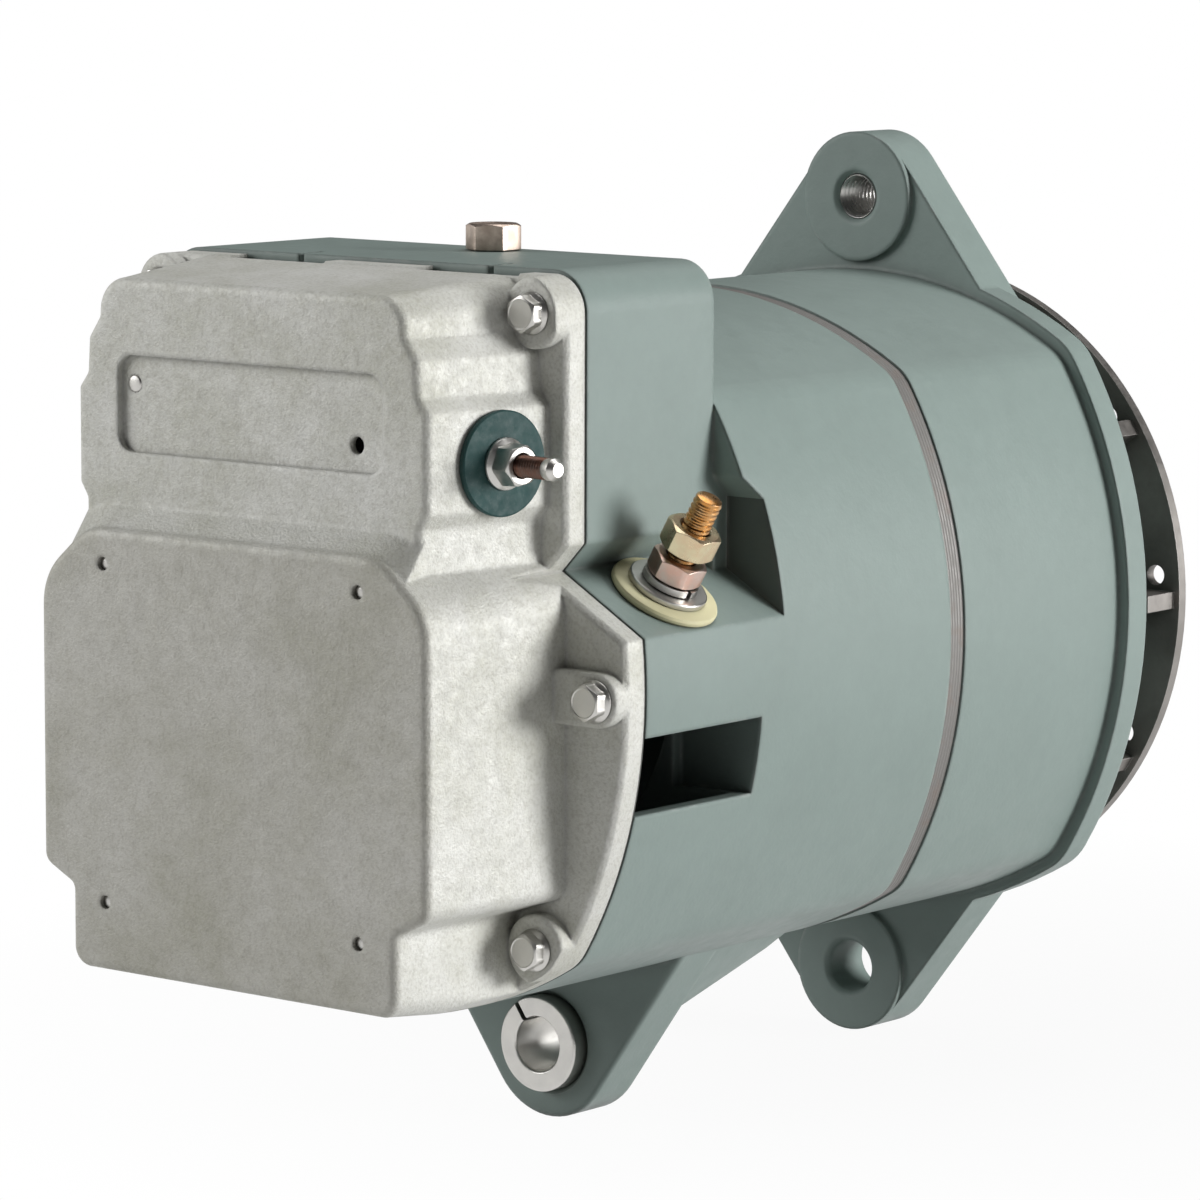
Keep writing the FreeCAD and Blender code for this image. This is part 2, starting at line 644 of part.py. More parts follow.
# Squarish body section
def body_face(inset):
    """Four broad side arcs joined by tight corner arcs, drawn inwards by inset."""
    corner = BODY_CORNER_CENTRE
    side_half = math.atan2(corner, corner + BODY_SHIFT)
    side_radius = BODY_SIDE_RADIUS - inset
    corner_radius = BODY_CORNER_RADIUS - inset
    edges = []
    for quarter in range(4):
        turn = quarter * math.pi / 2
        side = turned_arc(-BODY_SHIFT, 0.0, side_radius, -side_half, side_half, turn)
        bend = turned_arc(corner, corner, corner_radius, side_half, math.pi / 2 - side_half, turn)
        edges += [side, bend]
    return Part.Face(Part.Wire(edges))


def turned_arc(centre_x, centre_z, radius, start, finish, turn):
    points = []
    for angle in (start, (start + finish) / 2, finish):
        x = centre_x + radius * math.cos(angle)
        z = centre_z + radius * math.sin(angle)
        turned_x = x * math.cos(turn) - z * math.sin(turn)
        turned_z = x * math.sin(turn) + z * math.cos(turn)
        points.append(point(turned_x, turned_z))
    return Part.Arc(*points).toShape()


# Section of the rear frame and cover flange behind the terminal wall
def platform_height(x, inset=0.0):
    slope = math.radians(PLATFORM_ANGLE)
    return PLATFORM_Z - (x - PLATFORM_X) * math.tan(slope) - inset / math.cos(slope)


def above_platform(y_from, y_to, inset=0.0):
    far = 2 * BODY_HALF
    roof = [(0.0, platform_height(0.0, inset)), (far, platform_height(far, inset)), (far, far)]
    roof += [(-far, far), (-far, platform_height(far, inset))]
    return prism(polygon_face(roof), y_from, y_to)


def housing_face(inset, corner_radius, drop=0.0):
    rise = HOUSING_FLARE / (HOUSING_HALF - PLATFORM_X)
    lift = PLATFORM_Z + inset * math.sqrt(1 + rise * rise)
    neck = PLATFORM_X - inset
    wall = HOUSING_HALF - inset
    small = 0.5
    corners = [
        (neck, 0.0, small),
        (neck, lift - inset * rise, small),
        (wall, lift + (wall - PLATFORM_X) * rise, small),
        (wall, HOUSING_TOP - inset - drop, corner_radius),
    ]
    return rounded_face(mirrored(corners))


def rear_section(y_from, y_to, inset, corner_radius, drop=0.0):
    lower = prism(body_face(inset), y_from, y_to).cut(above_platform(y_from, y_to, inset))
    return fused([lower, prism(housing_face(inset, corner_radius, drop), y_from, y_to)])


def section_wire(y, inset, corner_radius, drop):
    """Outer wire of the rear section at this station."""
    slab = rear_section(y, y + 1.0, inset, corner_radius, drop)
    ends = [face for face in slab.Faces if abs(face.BoundBox.YMax - y) < 1e-6]
    return ends[0].OuterWire


# Lugs
def lug_face(tip_radius, sign):
    """Rounded tip at the lug height with tangent sides down to the body."""
    tip = point(0.0, sign * LUG_DROP)
    base = point(LUG_BASE_HALF, sign * LUG_BASE_HEIGHT)
    away = base - tip
    spread = math.acos(tip_radius / away.Length)
    heading = math.atan2(away.z, away.x) + sign * spread
    touch_x = tip_radius * math.cos(heading)
    touch_z = sign * LUG_DROP + tip_radius * math.sin(heading)
    end = point(0.0, sign * (LUG_DROP + tip_radius))
    right = point(touch_x, touch_z)
    left = point(-touch_x, touch_z)
    base_left = point(-LUG_BASE_HALF, sign * LUG_BASE_HEIGHT)
    edges = [
        Part.LineSegment(base, right).toShape(),
        Part.Arc(right, end, left).toShape(),
        Part.LineSegment(left, base_left).toShape(),
        Part.LineSegment(base_left, base).toShape(),
    ]
    return Part.Face(Part.Wire(edges))


def chamfered_bore(radius, y_from, y_to, z):
    bore = rod(radius, y_from, y_to, 0.0, z)
    wide = radius + BORE_CHAMFER
    entry = Part.makeCone(wide, radius, BORE_CHAMFER, point(0.0, z, y_from), Y_AXIS)
    leave = Part.makeCone(radius, wide, BORE_CHAMFER, point(0.0, z, y_to - BORE_CHAMFER), Y_AXIS)
    return bore.fuse([entry, leave])


# Front frame
def front_frame():
    skirt = prism(body_face(0.0), SEAM_FRONT_Y, FRONT_PLATE_Y)
    flange = prism(body_face(-FRONT_FLANGE_LIP), FRONT_PLATE_Y, FRONT_FLANGE_Y)
    flange = softened(flange, FRONT_FLANGE_Y, EDGE_RADIUS)
    solids = [skirt, flange]
    for sign in (1, -1):
        plate = prism(lug_face(FRONT_LUG_TIP_RADIUS, sign), FRONT_PLATE_Y, FRONT_LUG_Y)
        solids.append(softened(plate, FRONT_LUG_Y, EDGE_RADIUS))
        boss_y = FRONT_PLATE_Y + LUG_BOSS_HEIGHT
        solids.append(rod(FRONT_LUG_TIP_RADIUS, LUG_FACE_Y, boss_y, 0.0, sign * LUG_DROP))
    whole = fused(solids)
    wall_y = FRONT_FLANGE_Y - FRONT_WALL
    hollow = [
        prism(body_face(PILOT_WALL), SEAM_FRONT_Y, CORE_FRONT_Y),
        rod(WINDING_ROOM_RADIUS, CORE_FRONT_Y, wall_y),
        rod(LUG_INNER_RADIUS, FRONT_FLANGE_Y, FRONT_LUG_Y),
    ]
    whole = without(whole, hollow)
    hub_rear_y = FRONT_BEARING_REAR_Y
    whole = fused([whole, rod(FRONT_HUB_RADIUS, hub_rear_y, FRONT_FLANGE_Y - EDGE_RADIUS)])
    cuts = [
        rod(FRONT_BEARING_OUTER + PRESS_FIT, hub_rear_y, FRONT_BEARING_FRONT_Y),
        rod(FRONT_HUB_BORE, FRONT_BEARING_FRONT_Y, FRONT_FLANGE_Y),
        chamfered_bore(ADJUSTING_BORE_RADIUS, LUG_FACE_Y, FRONT_LUG_Y, LUG_DROP),
        chamfered_bore(HINGE_BORE_RADIUS, LUG_FACE_Y, FRONT_LUG_Y, -LUG_DROP),
    ]
    for x, z in on_circle(RETAINER_SCREW_CIRCLE, 4, 45.0):
        reach_y = hub_rear_y + RETAINER_SCREW_REACH
        cuts.append(rod(RETAINER_SCREW_RADIUS + THREAD_FIT, hub_rear_y, reach_y, x, z))
    for x, z in on_circle(FRAME_BOLT_CIRCLE, 4, 45.0):
        cuts.append(rod(FRAME_BOLT_RADIUS + SLIDE_FIT, CORE_FRONT_Y, FRONT_FLANGE_Y, x, z))
        cuts.append(rod(FRAME_BOLT_SINK_RADIUS, FRONT_FLANGE_Y - FRAME_BOLT_HEAD, FRONT_FLANGE_Y, x, z))
    for step in range(FRONT_VENT_COUNT):
        angle = 360.0 * step / FRONT_VENT_COUNT
        vent = sector(FRONT_VENT_INNER, FRONT_VENT_OUTER, FRONT_VENT_HALF_ANGLE, angle,
                      wall_y, FRONT_FLANGE_Y)
        cuts.append(vent)
    return without(whole, cuts)


# Rear frame
def rear_lug():
    plate = prism(lug_face(REAR_LUG_TIP_RADIUS, -1), REAR_LUG_REAR_Y, REAR_LUG_FRONT_Y)
    plate = softened(plate, REAR_LUG_REAR_Y, EDGE_RADIUS)
    top = -LUG_BASE_HEIGHT
    start = (LUG_BASE_HALF * GUSSET_TIP_WIDTH, -LUG_DROP * GUSSET_TIP_DROP, REAR_LUG_FRONT_Y)
    root_y = REAR_LUG_FRONT_Y + REAR_LUG_GUSSET
    finish = (LUG_BASE_HALF * GUSSET_ROOT_WIDTH, -BODY_HALF * GUSSET_ROOT_DROP, root_y)
    wires = []
    for half, low, y in (start, finish):
        corners = [(-LUG_BASE_HALF, top), (LUG_BASE_HALF, top), (half, low), (-half, low)]
        points = [point(x, z, y) for x, z in corners]
        wires.append(Part.makePolygon(points + points[:1]))
    gusset = Part.makeLoft(wires, True, True)
    return fused([plate, gusset])


def terminal_pocket():
    """Step cut deeper into the terminal wall beside the platform, on both sides."""
    wall = TERMINAL_WALL_Y
    deep = wall + TERMINAL_POCKET_DEPTH
    top = TERMINAL_POCKET_TOP
    outline = [(wall, top + TERMINAL_POCKET_DEPTH), (deep, top), (deep, -BODY_HALF), (wall, -BODY_HALF)]
    points = [FreeCAD.Vector(0, y, z) for y, z in outline]
    side = Part.Face(Part.makePolygon(points + points[:1]))
    wide = side.extrude(FreeCAD.Vector(BODY_HALF - HOUSING_HALF + FRONT_FLANGE_LIP, 0, 0))
    solids = []
    for start in (HOUSING_HALF, -HOUSING_HALF - (BODY_HALF - HOUSING_HALF + FRONT_FLANGE_LIP)):
        piece = wide.copy()
        piece.translate(FreeCAD.Vector(start, 0, 0))
        solids.append(piece)
    return Part.makeCompound(solids).common(above_platform(wall, deep))


def output_axis():
    slope = math.radians(PLATFORM_ANGLE)
    return FreeCAD.Vector(math.sin(slope), 0, math.cos(slope))


def output_base():
    return point(OUTPUT_STUD_X, platform_height(OUTPUT_STUD_X), OUTPUT_STUD_Y)


def rear_frame_outside():
    barrel = prism(body_face(0.0), TERMINAL_WALL_Y, SEAM_REAR_Y)
    barrel = barrel.cut(terminal_pocket())
    section = rear_section(JOINT_Y, TERMINAL_WALL_Y, 0.0, HOUSING_CORNER_RADIUS)
    lug = rear_lug().cut(prism(body_face(PILOT_WALL), JOINT_Y, FRONT_FLANGE_Y))
    return fused([barrel, section, lug])


def rear_chamber():
    pocket = rod(BULKHEAD_POCKET_RADIUS, HOUSING_INNER_Y, BULKHEAD_REAR_Y)
    chamber = rear_section(JOINT_Y, HOUSING_INNER_Y, HOUSING_WALL, HOUSING_CORNER_RADIUS - HOUSING_WALL)
    bosses = []
    for x, z in both_sides(COVER_SCREW_PLACES):
        bosses.append(rod(SCREW_BOSS_RADIUS, JOINT_Y, JOINT_Y + SCREW_BOSS_LENGTH, x, z))
    low_z = HOUSING_TOP - GROUND_BOSS_DEPTH
    boss = Part.makeCylinder(GROUND_BOSS_RADIUS, GROUND_BOSS_DEPTH, ground_place(low_z), Z_AXIS)
    bosses.append(boss)
    bosses.append(rod(REAR_HUB_RADIUS, REAR_HUB_REAR_Y, BULKHEAD_REAR_Y))
    return pocket.fuse(chamber).cut(Part.makeCompound(bosses))


def ground_place(z):
    return point(GROUND_SCREW_X, z, TERMINAL_WALL_Y - GROUND_SCREW_SETBACK)


def window_cutters():
    low = WINDOW_TOP - WINDOW_HEIGHT
    front_y = TERMINAL_WALL_Y - WINDOW_FRONT_WALL
    inner = BULKHEAD_POCKET_RADIUS
    outer = BODY_HALF + CUT_MARGIN
    return [box(side * inner, side * outer, JOINT_Y, front_y, low, WINDOW_TOP) for side in (1, -1)]


def rear_frame():
    whole = rear_frame_outside()
    bearing_radius = REAR_BEARING_OUTER + PRESS_FIT
    cuts = [
        prism(body_face(PILOT_WALL), CORE_REAR_Y, SEAM_REAR_Y),
        rod(WINDING_ROOM_RADIUS, BULKHEAD_FRONT_Y, CORE_REAR_Y),
        rear_chamber(),
        rod(bearing_radius, REAR_HUB_REAR_Y + REAR_HUB_FLOOR, REAR_BEARING_FRONT_Y),
        rod(REAR_HUB_MOUTH, REAR_BEARING_FRONT_Y, BULKHEAD_FRONT_Y),
        chamfered_bore(BUSHING_RADIUS + SLIDE_FIT, REAR_LUG_REAR_Y, REAR_LUG_FRONT_Y + REAR_LUG_GUSSET,
                       -LUG_DROP),
        aimed(upright_rod(OUTPUT_HOLE_RADIUS, 3 * HOUSING_WALL, -2 * HOUSING_WALL),
              output_base(), output_axis()),
        Part.makeCylinder(GROUND_SCREW_RADIUS + THREAD_FIT, GROUND_BOSS_DEPTH,
                          ground_place(HOUSING_TOP - GROUND_BOSS_DEPTH)),
    ]
    cuts += window_cutters()
    for x, z in on_circle(BULKHEAD_VENT_CIRCLE, BULKHEAD_VENT_COUNT):
        cuts.append(rod(BULKHEAD_VENT_RADIUS, BULKHEAD_REAR_Y, BULKHEAD_FRONT_Y, x, z))
    for x, z in on_circle(FIELD_SCREW_CIRCLE, 4, 45.0):
        cuts.append(rod(FIELD_SCREW_RADIUS + SLIDE_FIT, BULKHEAD_REAR_Y, BULKHEAD_FRONT_Y, x, z))
    for x, z in on_circle(FRAME_BOLT_CIRCLE, 4, 45.0):
        cuts.append(rod(FRAME_BOLT_RADIUS + THREAD_FIT, CORE_REAR_Y - FRAME_BOLT_REACH, CORE_REAR_Y, x, z))
    for x, z in both_sides(COVER_SCREW_PLACES):
        depth = COVER_SCREW_GRIP + THREAD_RUNOUT
        cuts.append(rod(COVER_SCREW_RADIUS + THREAD_FIT, JOINT_Y, JOINT_Y + depth, x, z))
    for x, z in both_sides(SPACER_PLACES):
        bite_y = HOUSING_INNER_Y + SINK_SCREW_BITE
        cuts.append(rod(SINK_SCREW_RADIUS + THREAD_FIT, HOUSING_INNER_Y, bite_y, x, z))
    for step in (-1, 0, 1):
        cuts.append(rod(LEAD_HOLE_RADIUS, HOUSING_INNER_Y, BULKHEAD_FRONT_Y, step * LEAD_PITCH, LEAD_Z))
    half = PRY_SLOT_WIDTH / 2
    for x in PRY_SLOT_PLACES:
        cuts.append(box(x - half, x + half, JOINT_Y, JOINT_Y + PRY_SLOT_LENGTH,
                        HOUSING_TOP - PRY_SLOT_DEPTH, HOUSING_TOP))
    return without(whole, cuts)


# Rear cover
def cover_upper_face(inset, share=0.0):
    """Outline of the upper part; share is how far it is from the rear face to the front plane."""
    grow = share * COVER_UPPER_SPREAD - inset
    top = COVER_TOP_Z + share * COVER_TOP_LIFT - inset
    shoulder = COVER_SHOULDER_Z
    crown = COVER_CROWN_Z - inset / 2
    neck = COVER_NECK_Z + inset / 2
    lean = grow - COVER_LEAN
    corners = [
        (COVER_NECK_HALF + grow, 0.0, COVER_BEND_RADIUS),
        (COVER_NECK_HALF + grow, neck - COVER_BEND_RISE, COVER_BEND_RADIUS),
        (COVER_UPPER_HALF + grow, neck + COVER_BEND_RISE, COVER_BEND_RADIUS),
        (COVER_UPPER_HALF + grow, shoulder - COVER_BEND_RISE, COVER_BEND_RADIUS),
        (COVER_SHOULDER_HALF + grow, shoulder + COVER_BEND_RISE, COVER_BEND_RADIUS),
        (COVER_SHOULDER_HALF + lean, crown - COVER_CROWN_RISE, COVER_BEND_RADIUS),
        (COVER_CROWN_HALF + grow, crown + COVER_CROWN_RISE, COVER_BEND_RADIUS),
        (COVER_CROWN_HALF + lean, top, COVER_TOP_RADIUS - inset / 2),
    ]
    return rounded_face(mirrored(corners))


def cover_lower_face(inset, share=0.0):
    """Outline of the lower part; share is how far it is from the rear face to the front plane."""
    grow = share * COVER_LOWER_SPREAD - inset
    notch = COVER_NOTCH_Z + inset
    bend = grow * math.tan(math.pi / 8)
    corners = [
        (COVER_NOTCH_HALF - inset, COVER_BOTTOM_Z - grow, COVER_FOOT_RADIUS),
        (COVER_NOTCH_HALF - inset, notch - COVER_NOTCH_BEND, COVER_NOTCH_RADIUS),
        (COVER_LOWER_HALF + grow, notch + COVER_NOTCH_BEND, COVER_SIDE_RADIUS),
        (COVER_LOWER_HALF + grow, COVER_SHELF_Z - COVER_CHAMFER_Z + bend, COVER_SHELF_RADIUS),
        (COVER_LOWER_HALF - COVER_CHAMFER_X + bend, COVER_SHELF_Z + grow, COVER_SHELF_RADIUS),
    ]
    return rounded_face(mirrored(corners))


def cover_taper(outline, inset, rear_y, y_from):
    """Solid that widens from y_from to the cover's front plane, behind the straight rim at rear_y."""
    bend_y = rear_y + COVER_RIM_DEPTH
    wires = []
    for y in (y_from, COVER_FRONT_Y):
        wire = outline(inset, (y - bend_y) / (COVER_FRONT_Y - bend_y)).OuterWire
        wire.translate(FreeCAD.Vector(0, y, 0))
        wires.append(wire)
    return Part.makeLoft(wires, True, True)


def cover_shell():
    edge_y = COVER_FLANGE_Y + COVER_FLANGE_EDGE
    radius = COVER_CORNER_RADIUS
    drop = COVER_FLANGE_DROP
    edge = section_wire(edge_y, 0.0, radius, drop)
    inner_edge = section_wire(COVER_FLANGE_Y, COVER_FLANGE_EDGE, radius - COVER_FLANGE_EDGE, drop)
    flange = fused([rear_section(edge_y, COVER_FRONT_Y, 0.0, radius, drop),
                    Part.makeLoft([edge, inner_edge], True, True)])
    outside = fused([flange, cover_shelf()])
    for outline, rear_y in ((cover_upper_face, COVER_UPPER_Y), (cover_lower_face, COVER_LOWER_Y)):
        bend_y = rear_y + COVER_RIM_DEPTH
        rim = softened(prism(outline(0.0), rear_y, bend_y), rear_y, COVER_EDGE_RADIUS)
        outside = fused([outside, fused([rim, cover_taper(outline, 0.0, rear_y, bend_y)])])
    top_place, middle_place, bottom_place = COVER_SCREW_PLACES
    for x, z in both_sides([top_place, bottom_place]):
        boss = rod(COVER_BOSS_RADIUS, COVER_SCREW_SEAT_Y, COVER_FRONT_Y, x, z)
        outside = fused([outside, softened(boss, COVER_SCREW_SEAT_Y, COVER_BOSS_EDGE)])
    middle_x, middle_z = middle_place
    low = middle_z - COVER_BLOCK_HALF
    high = middle_z + COVER_BLOCK_HALF
    inner = COVER_LOWER_HALF - COVER_WALL
    for side in (1, -1):
        block = fused([box(side * inner, side * middle_x, COVER_SCREW_SEAT_Y, COVER_FRONT_Y, low, high),
                       rod(COVER_BLOCK_HALF, COVER_SCREW_SEAT_Y, COVER_FRONT_Y, side * middle_x, middle_z)])
        outside = fused([outside, softened(block, COVER_SCREW_SEAT_Y, COVER_BOSS_EDGE)])
    return outside.common(rear_section(COVER_LOWER_Y, COVER_FRONT_Y, 0.0, radius, drop))


def cover_shelf():
    """Sloped shelf from the outline of the lower face out to the upper face."""
    wires = []
    for inset, rear_y in ((0.0, COVER_LOWER_Y), (-COVER_STEP_DEPTH, COVER_UPPER_Y)):
        wire = cover_lower_face(inset).OuterWire
        wire.translate(FreeCAD.Vector(0, rear_y + COVER_EDGE_RADIUS, 0))
        wires.append(wire)
    slope = Part.makeLoft(wires, True, True)
    return slope.common(prism(cover_upper_face(0.0), COVER_LOWER_Y, COVER_FLANGE_Y))


def name_recess():
    top = RECESS_BOTTOM + RECESS_HEIGHT
    corners = [(RECESS_HALF, RECESS_BOTTOM, RECESS_CORNER_RADIUS), (RECESS_HALF, top, RECESS_CORNER_RADIUS)]
    return prism(rounded_face(mirrored(corners)), COVER_UPPER_Y, COVER_UPPER_Y + RECESS_DEPTH)


def pin_places():
    return both_sides([(PIN_X, PIN_UPPER_Z), (PIN_X, PIN_LOWER_Z)])


def relay_axis():
    """Square to the cover's side, which spreads towards the front."""
    slope = math.atan(COVER_UPPER_SPREAD / (COVER_UPPER_DEPTH - COVER_RIM_DEPTH))
    return FreeCAD.Vector(math.cos(slope), -math.sin(slope), 0)


def relay_base():
    length = COVER_UPPER_DEPTH - COVER_RIM_DEPTH
    spread = COVER_UPPER_SPREAD * (length - RELAY_SETBACK) / length
    return FreeCAD.Vector(COVER_UPPER_HALF + spread, COVER_FRONT_Y - RELAY_SETBACK, RELAY_Z)


def rear_cover():
    relay_hole = upright_rod(RELAY_HOLE_RADIUS, 2 * COVER_WALL, -1.5 * COVER_WALL)
    cuts = [name_recess(), aimed(relay_hole, relay_base(), relay_axis())]
    for outline, rear_y in ((cover_upper_face, COVER_UPPER_Y), (cover_lower_face, COVER_LOWER_Y)):
        cuts.append(cover_taper(outline, COVER_WALL, rear_y, rear_y + COVER_WALL))
    for x, z in both_sides(COVER_SCREW_PLACES):
        cuts.append(rod(COVER_SCREW_RADIUS + SLIDE_FIT, COVER_SCREW_SEAT_Y, COVER_FRONT_Y, x, z))
    for x, z in pin_places():
        cuts.append(rod(PIN_RADIUS + PRESS_FIT, COVER_LOWER_Y, COVER_LOWER_Y + COVER_WALL, x, z))
    for x, z in (PLATE_PIN_LEFT, PLATE_PIN_RIGHT):
        cuts.append(rod(PLATE_PIN_RADIUS + PRESS_FIT, COVER_UPPER_Y, COVER_UPPER_Y + COVER_WALL, x, z))
    high = HOUSING_TOP
    low = HOUSING_TOP - COVER_FLANGE_DROP - TOP_RELIEF_DEPTH
    for x_from, x_to in TOP_RELIEFS:
        cuts.append(box(x_from, x_to, COVER_FLANGE_Y, COVER_FRONT_Y, low, high))
    return without(cover_shell(), cuts)


def cover_gasket():
    drop = COVER_FLANGE_DROP + TOP_RELIEF_DEPTH
    whole = rear_section(COVER_FRONT_Y, JOINT_Y, GASKET_INSET, COVER_CORNER_RADIUS, drop)
    cuts = [
        prism(cover_upper_face(COVER_WALL, 1.0), COVER_FRONT_Y, JOINT_Y),
        prism(cover_lower_face(COVER_WALL, 1.0), COVER_FRONT_Y, JOINT_Y),
    ]
    for x, z in both_sides(COVER_SCREW_PLACES):
        cuts.append(rod(COVER_SCREW_RADIUS + SLIDE_FIT, COVER_FRONT_Y, JOINT_Y, x, z))
    return without(whole, cuts)


def cover_screws():
    rearward = FreeCAD.Vector(0, -1, 0)
    screws = []
    for x, z in both_sides(COVER_SCREW_PLACES):
        flange = upright_rod(COVER_SCREW_FLANGE_RADIUS, COVER_SCREW_FLANGE)
        flange = flange.makeChamfer(COVER_SCREW_FLANGE * 0.5, [flange.Edges[0]])
        head = upright_hexagon(COVER_SCREW_FLATS, COVER_SCREW_HEAD, COVER_SCREW_FLANGE)
        length = COVER_BOSS_HEIGHT + COVER_FLANGE_THICKNESS + GASKET_THICKNESS + COVER_SCREW_GRIP
        shank = upright_rod(COVER_SCREW_RADIUS, length, -length)
        screws.append(aimed(fused([flange, head, shank]), point(x, z, COVER_SCREW_SEAT_Y), rearward))
    return Part.makeCompound(screws)


def cover_pins():
    pins = []
    for x, z in pin_places():
        start = COVER_LOWER_Y + PIN_SINK
        pins.append(rod(PIN_RADIUS, start, start + PIN_LENGTH, x, z))
    x, z = PLATE_PIN_LEFT
    floor = COVER_UPPER_Y + RECESS_DEPTH
    pins.append(rod(PLATE_PIN_RADIUS, floor - PIN_SINK / 2, COVER_UPPER_Y + COVER_WALL, x, z))
    return Part.makeCompound(pins)


# Stator
def slot_solids(width, inner, outer, y_from, y_to):
    slots = []
    for step in range(SLOT_COUNT):
        bar = box(inner, outer, y_from, y_to, -width / 2, width / 2)
        bar.rotate(FreeCAD.Vector(0, 0, 0), Y_AXIS, 360.0 * step / SLOT_COUNT)
        slots.append(bar)
    return slots


def stator_core():
    whole = prism(body_face(PILOT_WALL + SLIDE_FIT), CORE_REAR_Y, CORE_FRONT_Y)
    cuts = [rod(CORE_BORE_RADIUS, CORE_REAR_Y, CORE_FRONT_Y)]
    cuts += slot_solids(SLOT_WIDTH, SLOT_INNER, SLOT_INNER + SLOT_DEPTH, CORE_REAR_Y, CORE_FRONT_Y)
    cuts += slot_solids(SLOT_MOUTH, CORE_BORE_RADIUS - TOOTH_TIP, SLOT_INNER + SLOT_MOUTH,
                        CORE_REAR_Y, CORE_FRONT_Y)
    for x, z in on_circle(FRAME_BOLT_CIRCLE, 4, 45.0):
        cuts.append(rod(FRAME_BOLT_RADIUS + SLIDE_FIT, CORE_REAR_Y, CORE_FRONT_Y, x, z))
    return without(whole, cuts)


def stator_winding():
    inner = SLOT_INNER + WINDING_FIT
    outer = SLOT_INNER + SLOT_DEPTH - WINDING_FIT
    solids = [
        ring(END_TURN_OUTER, inner + 1.0, CORE_FRONT_Y, CORE_FRONT_Y + END_TURN_LENGTH),
        ring(END_TURN_OUTER, inner + 1.0, CORE_REAR_Y - END_TURN_LENGTH, CORE_REAR_Y),
    ]
    solids = [softened(solids[0], CORE_FRONT_Y + END_TURN_LENGTH, 3.0),
              softened(solids[1], CORE_REAR_Y - END_TURN_LENGTH, 3.0)]
    solids += slot_solids(SLOT_WIDTH - 2 * WINDING_FIT, inner, outer, CORE_REAR_Y, CORE_FRONT_Y)
    return fused(solids)


def phase_leads():
    start = CORE_REAR_Y - END_TURN_LENGTH
    steps = (-1, 0, 1)
    return Part.makeCompound([rod(LEAD_RADIUS, STRAP_FRONT_Y, start, step * LEAD_PITCH, LEAD_Z)
                              for step in steps])


def frame_bolts():
    bolts = []
    for x, z in on_circle(FRAME_BOLT_CIRCLE, 4, 45.0):
        seat = FRONT_FLANGE_Y - FRAME_BOLT_HEAD
        length = seat - CORE_REAR_Y + FRAME_BOLT_REACH - THREAD_RUNOUT
        head = upright_hexagon(FRAME_BOLT_FLATS, FRAME_BOLT_HEAD)
        bolt = fused([head, upright_rod(FRAME_BOLT_RADIUS, length, -length)])
        bolts.append(aimed(bolt, point(x, z, seat), Y_AXIS))
    return Part.makeCompound(bolts)


# Rotor
def rotor_shaft():
    rear_y = REAR_BEARING_REAR_Y - REAR_HUB_SPACE / 2
    nose_y = SEAT_LENGTH + NOSE_LENGTH
    solids = [
        rod(REAR_JOURNAL_RADIUS, rear_y, REAR_BEARING_FRONT_Y),
        rod(SHAFT_RADIUS, REAR_BEARING_FRONT_Y, FRONT_BEARING_REAR_Y),
        rod(FRONT_BEARING_BORE, FRONT_BEARING_REAR_Y, FRONT_BEARING_FRONT_Y),
        rod(FAN_SEAT_RADIUS, FRONT_BEARING_FRONT_Y, 0.0),
        rod(SEAT_RADIUS, 0.0, SEAT_LENGTH),
        bevelled(rod(NOSE_RADIUS, SEAT_LENGTH, nose_y), nose_y, SHAFT_CHAMFER),
    ]
    return fused(solids)


def shaft_washer():
    return ring(WASHER_RADIUS, NOSE_RADIUS + SLIDE_FIT, SEAT_LENGTH, SEAT_LENGTH + WASHER_THICKNESS)


def shaft_nut():
    nut = upright_hexagon(NUT_FLATS, NUT_HEIGHT).cut(upright_rod(NOSE_RADIUS + THREAD_FIT, NUT_HEIGHT))
    return aimed(nut, FreeCAD.Vector(0, SEAT_LENGTH + WASHER_THICKNESS, 0), Y_AXIS)


def claw(centre_angle, root_y, tip_y):
    wires = []
    for y, half in ((root_y, CLAW_ROOT_ANGLE), (tip_y, CLAW_TIP_ANGLE)):
        corners = []
        for radius, angle in ((POLE_DISC_RADIUS / 2, -half), (2 * POLE_DISC_RADIUS, -half),
                              (2 * POLE_DISC_RADIUS, half), (POLE_DISC_RADIUS / 2, half)):
            turn = math.radians(centre_angle + angle)
            corners.append(point(radius * math.cos(turn), radius * math.sin(turn), y))
        wires.append(Part.makePolygon(corners + corners[:1]))
    return Part.makeLoft(wires, True, True)


def pole_half(disc_from, disc_to, tip_y, disc_inner, start_angle):
    """Disc with its fingers; disc_from is the outer face of the rotor at this end."""
    outer = CORE_BORE_RADIUS - AIR_GAP
    finger_ring = ring(outer, CLAW_INNER, disc_from, tip_y)
    root_ring = ring(outer, CLAW_ROOT_INNER, disc_from, disc_to)
    solids = [ring(POLE_DISC_RADIUS, disc_inner, disc_from, disc_to)]
    for step in range(POLE_PAIRS):
        wedge = claw(start_angle + 360.0 * step / POLE_PAIRS, disc_from, tip_y)
        solids.append(wedge.common(finger_ring))
        solids.append(wedge.common(root_ring))
    return fused(solids)


def rotor_front_poles():
    disc_to = CORE_FRONT_Y - POLE_DISC_THICKNESS
    return pole_half(CORE_FRONT_Y, disc_to, CORE_REAR_Y + CLAW_TIP_GAP, SHAFT_RADIUS + PRESS_FIT, 0.0)


def rotor_rear_poles():
    disc_to = CORE_REAR_Y + REAR_POLE_THICKNESS
    opening = FIELD_NECK_RADIUS + FIELD_GAP
    return pole_half(CORE_REAR_Y, disc_to, CORE_FRONT_Y - CLAW_TIP_GAP, opening, 180.0 / POLE_PAIRS)


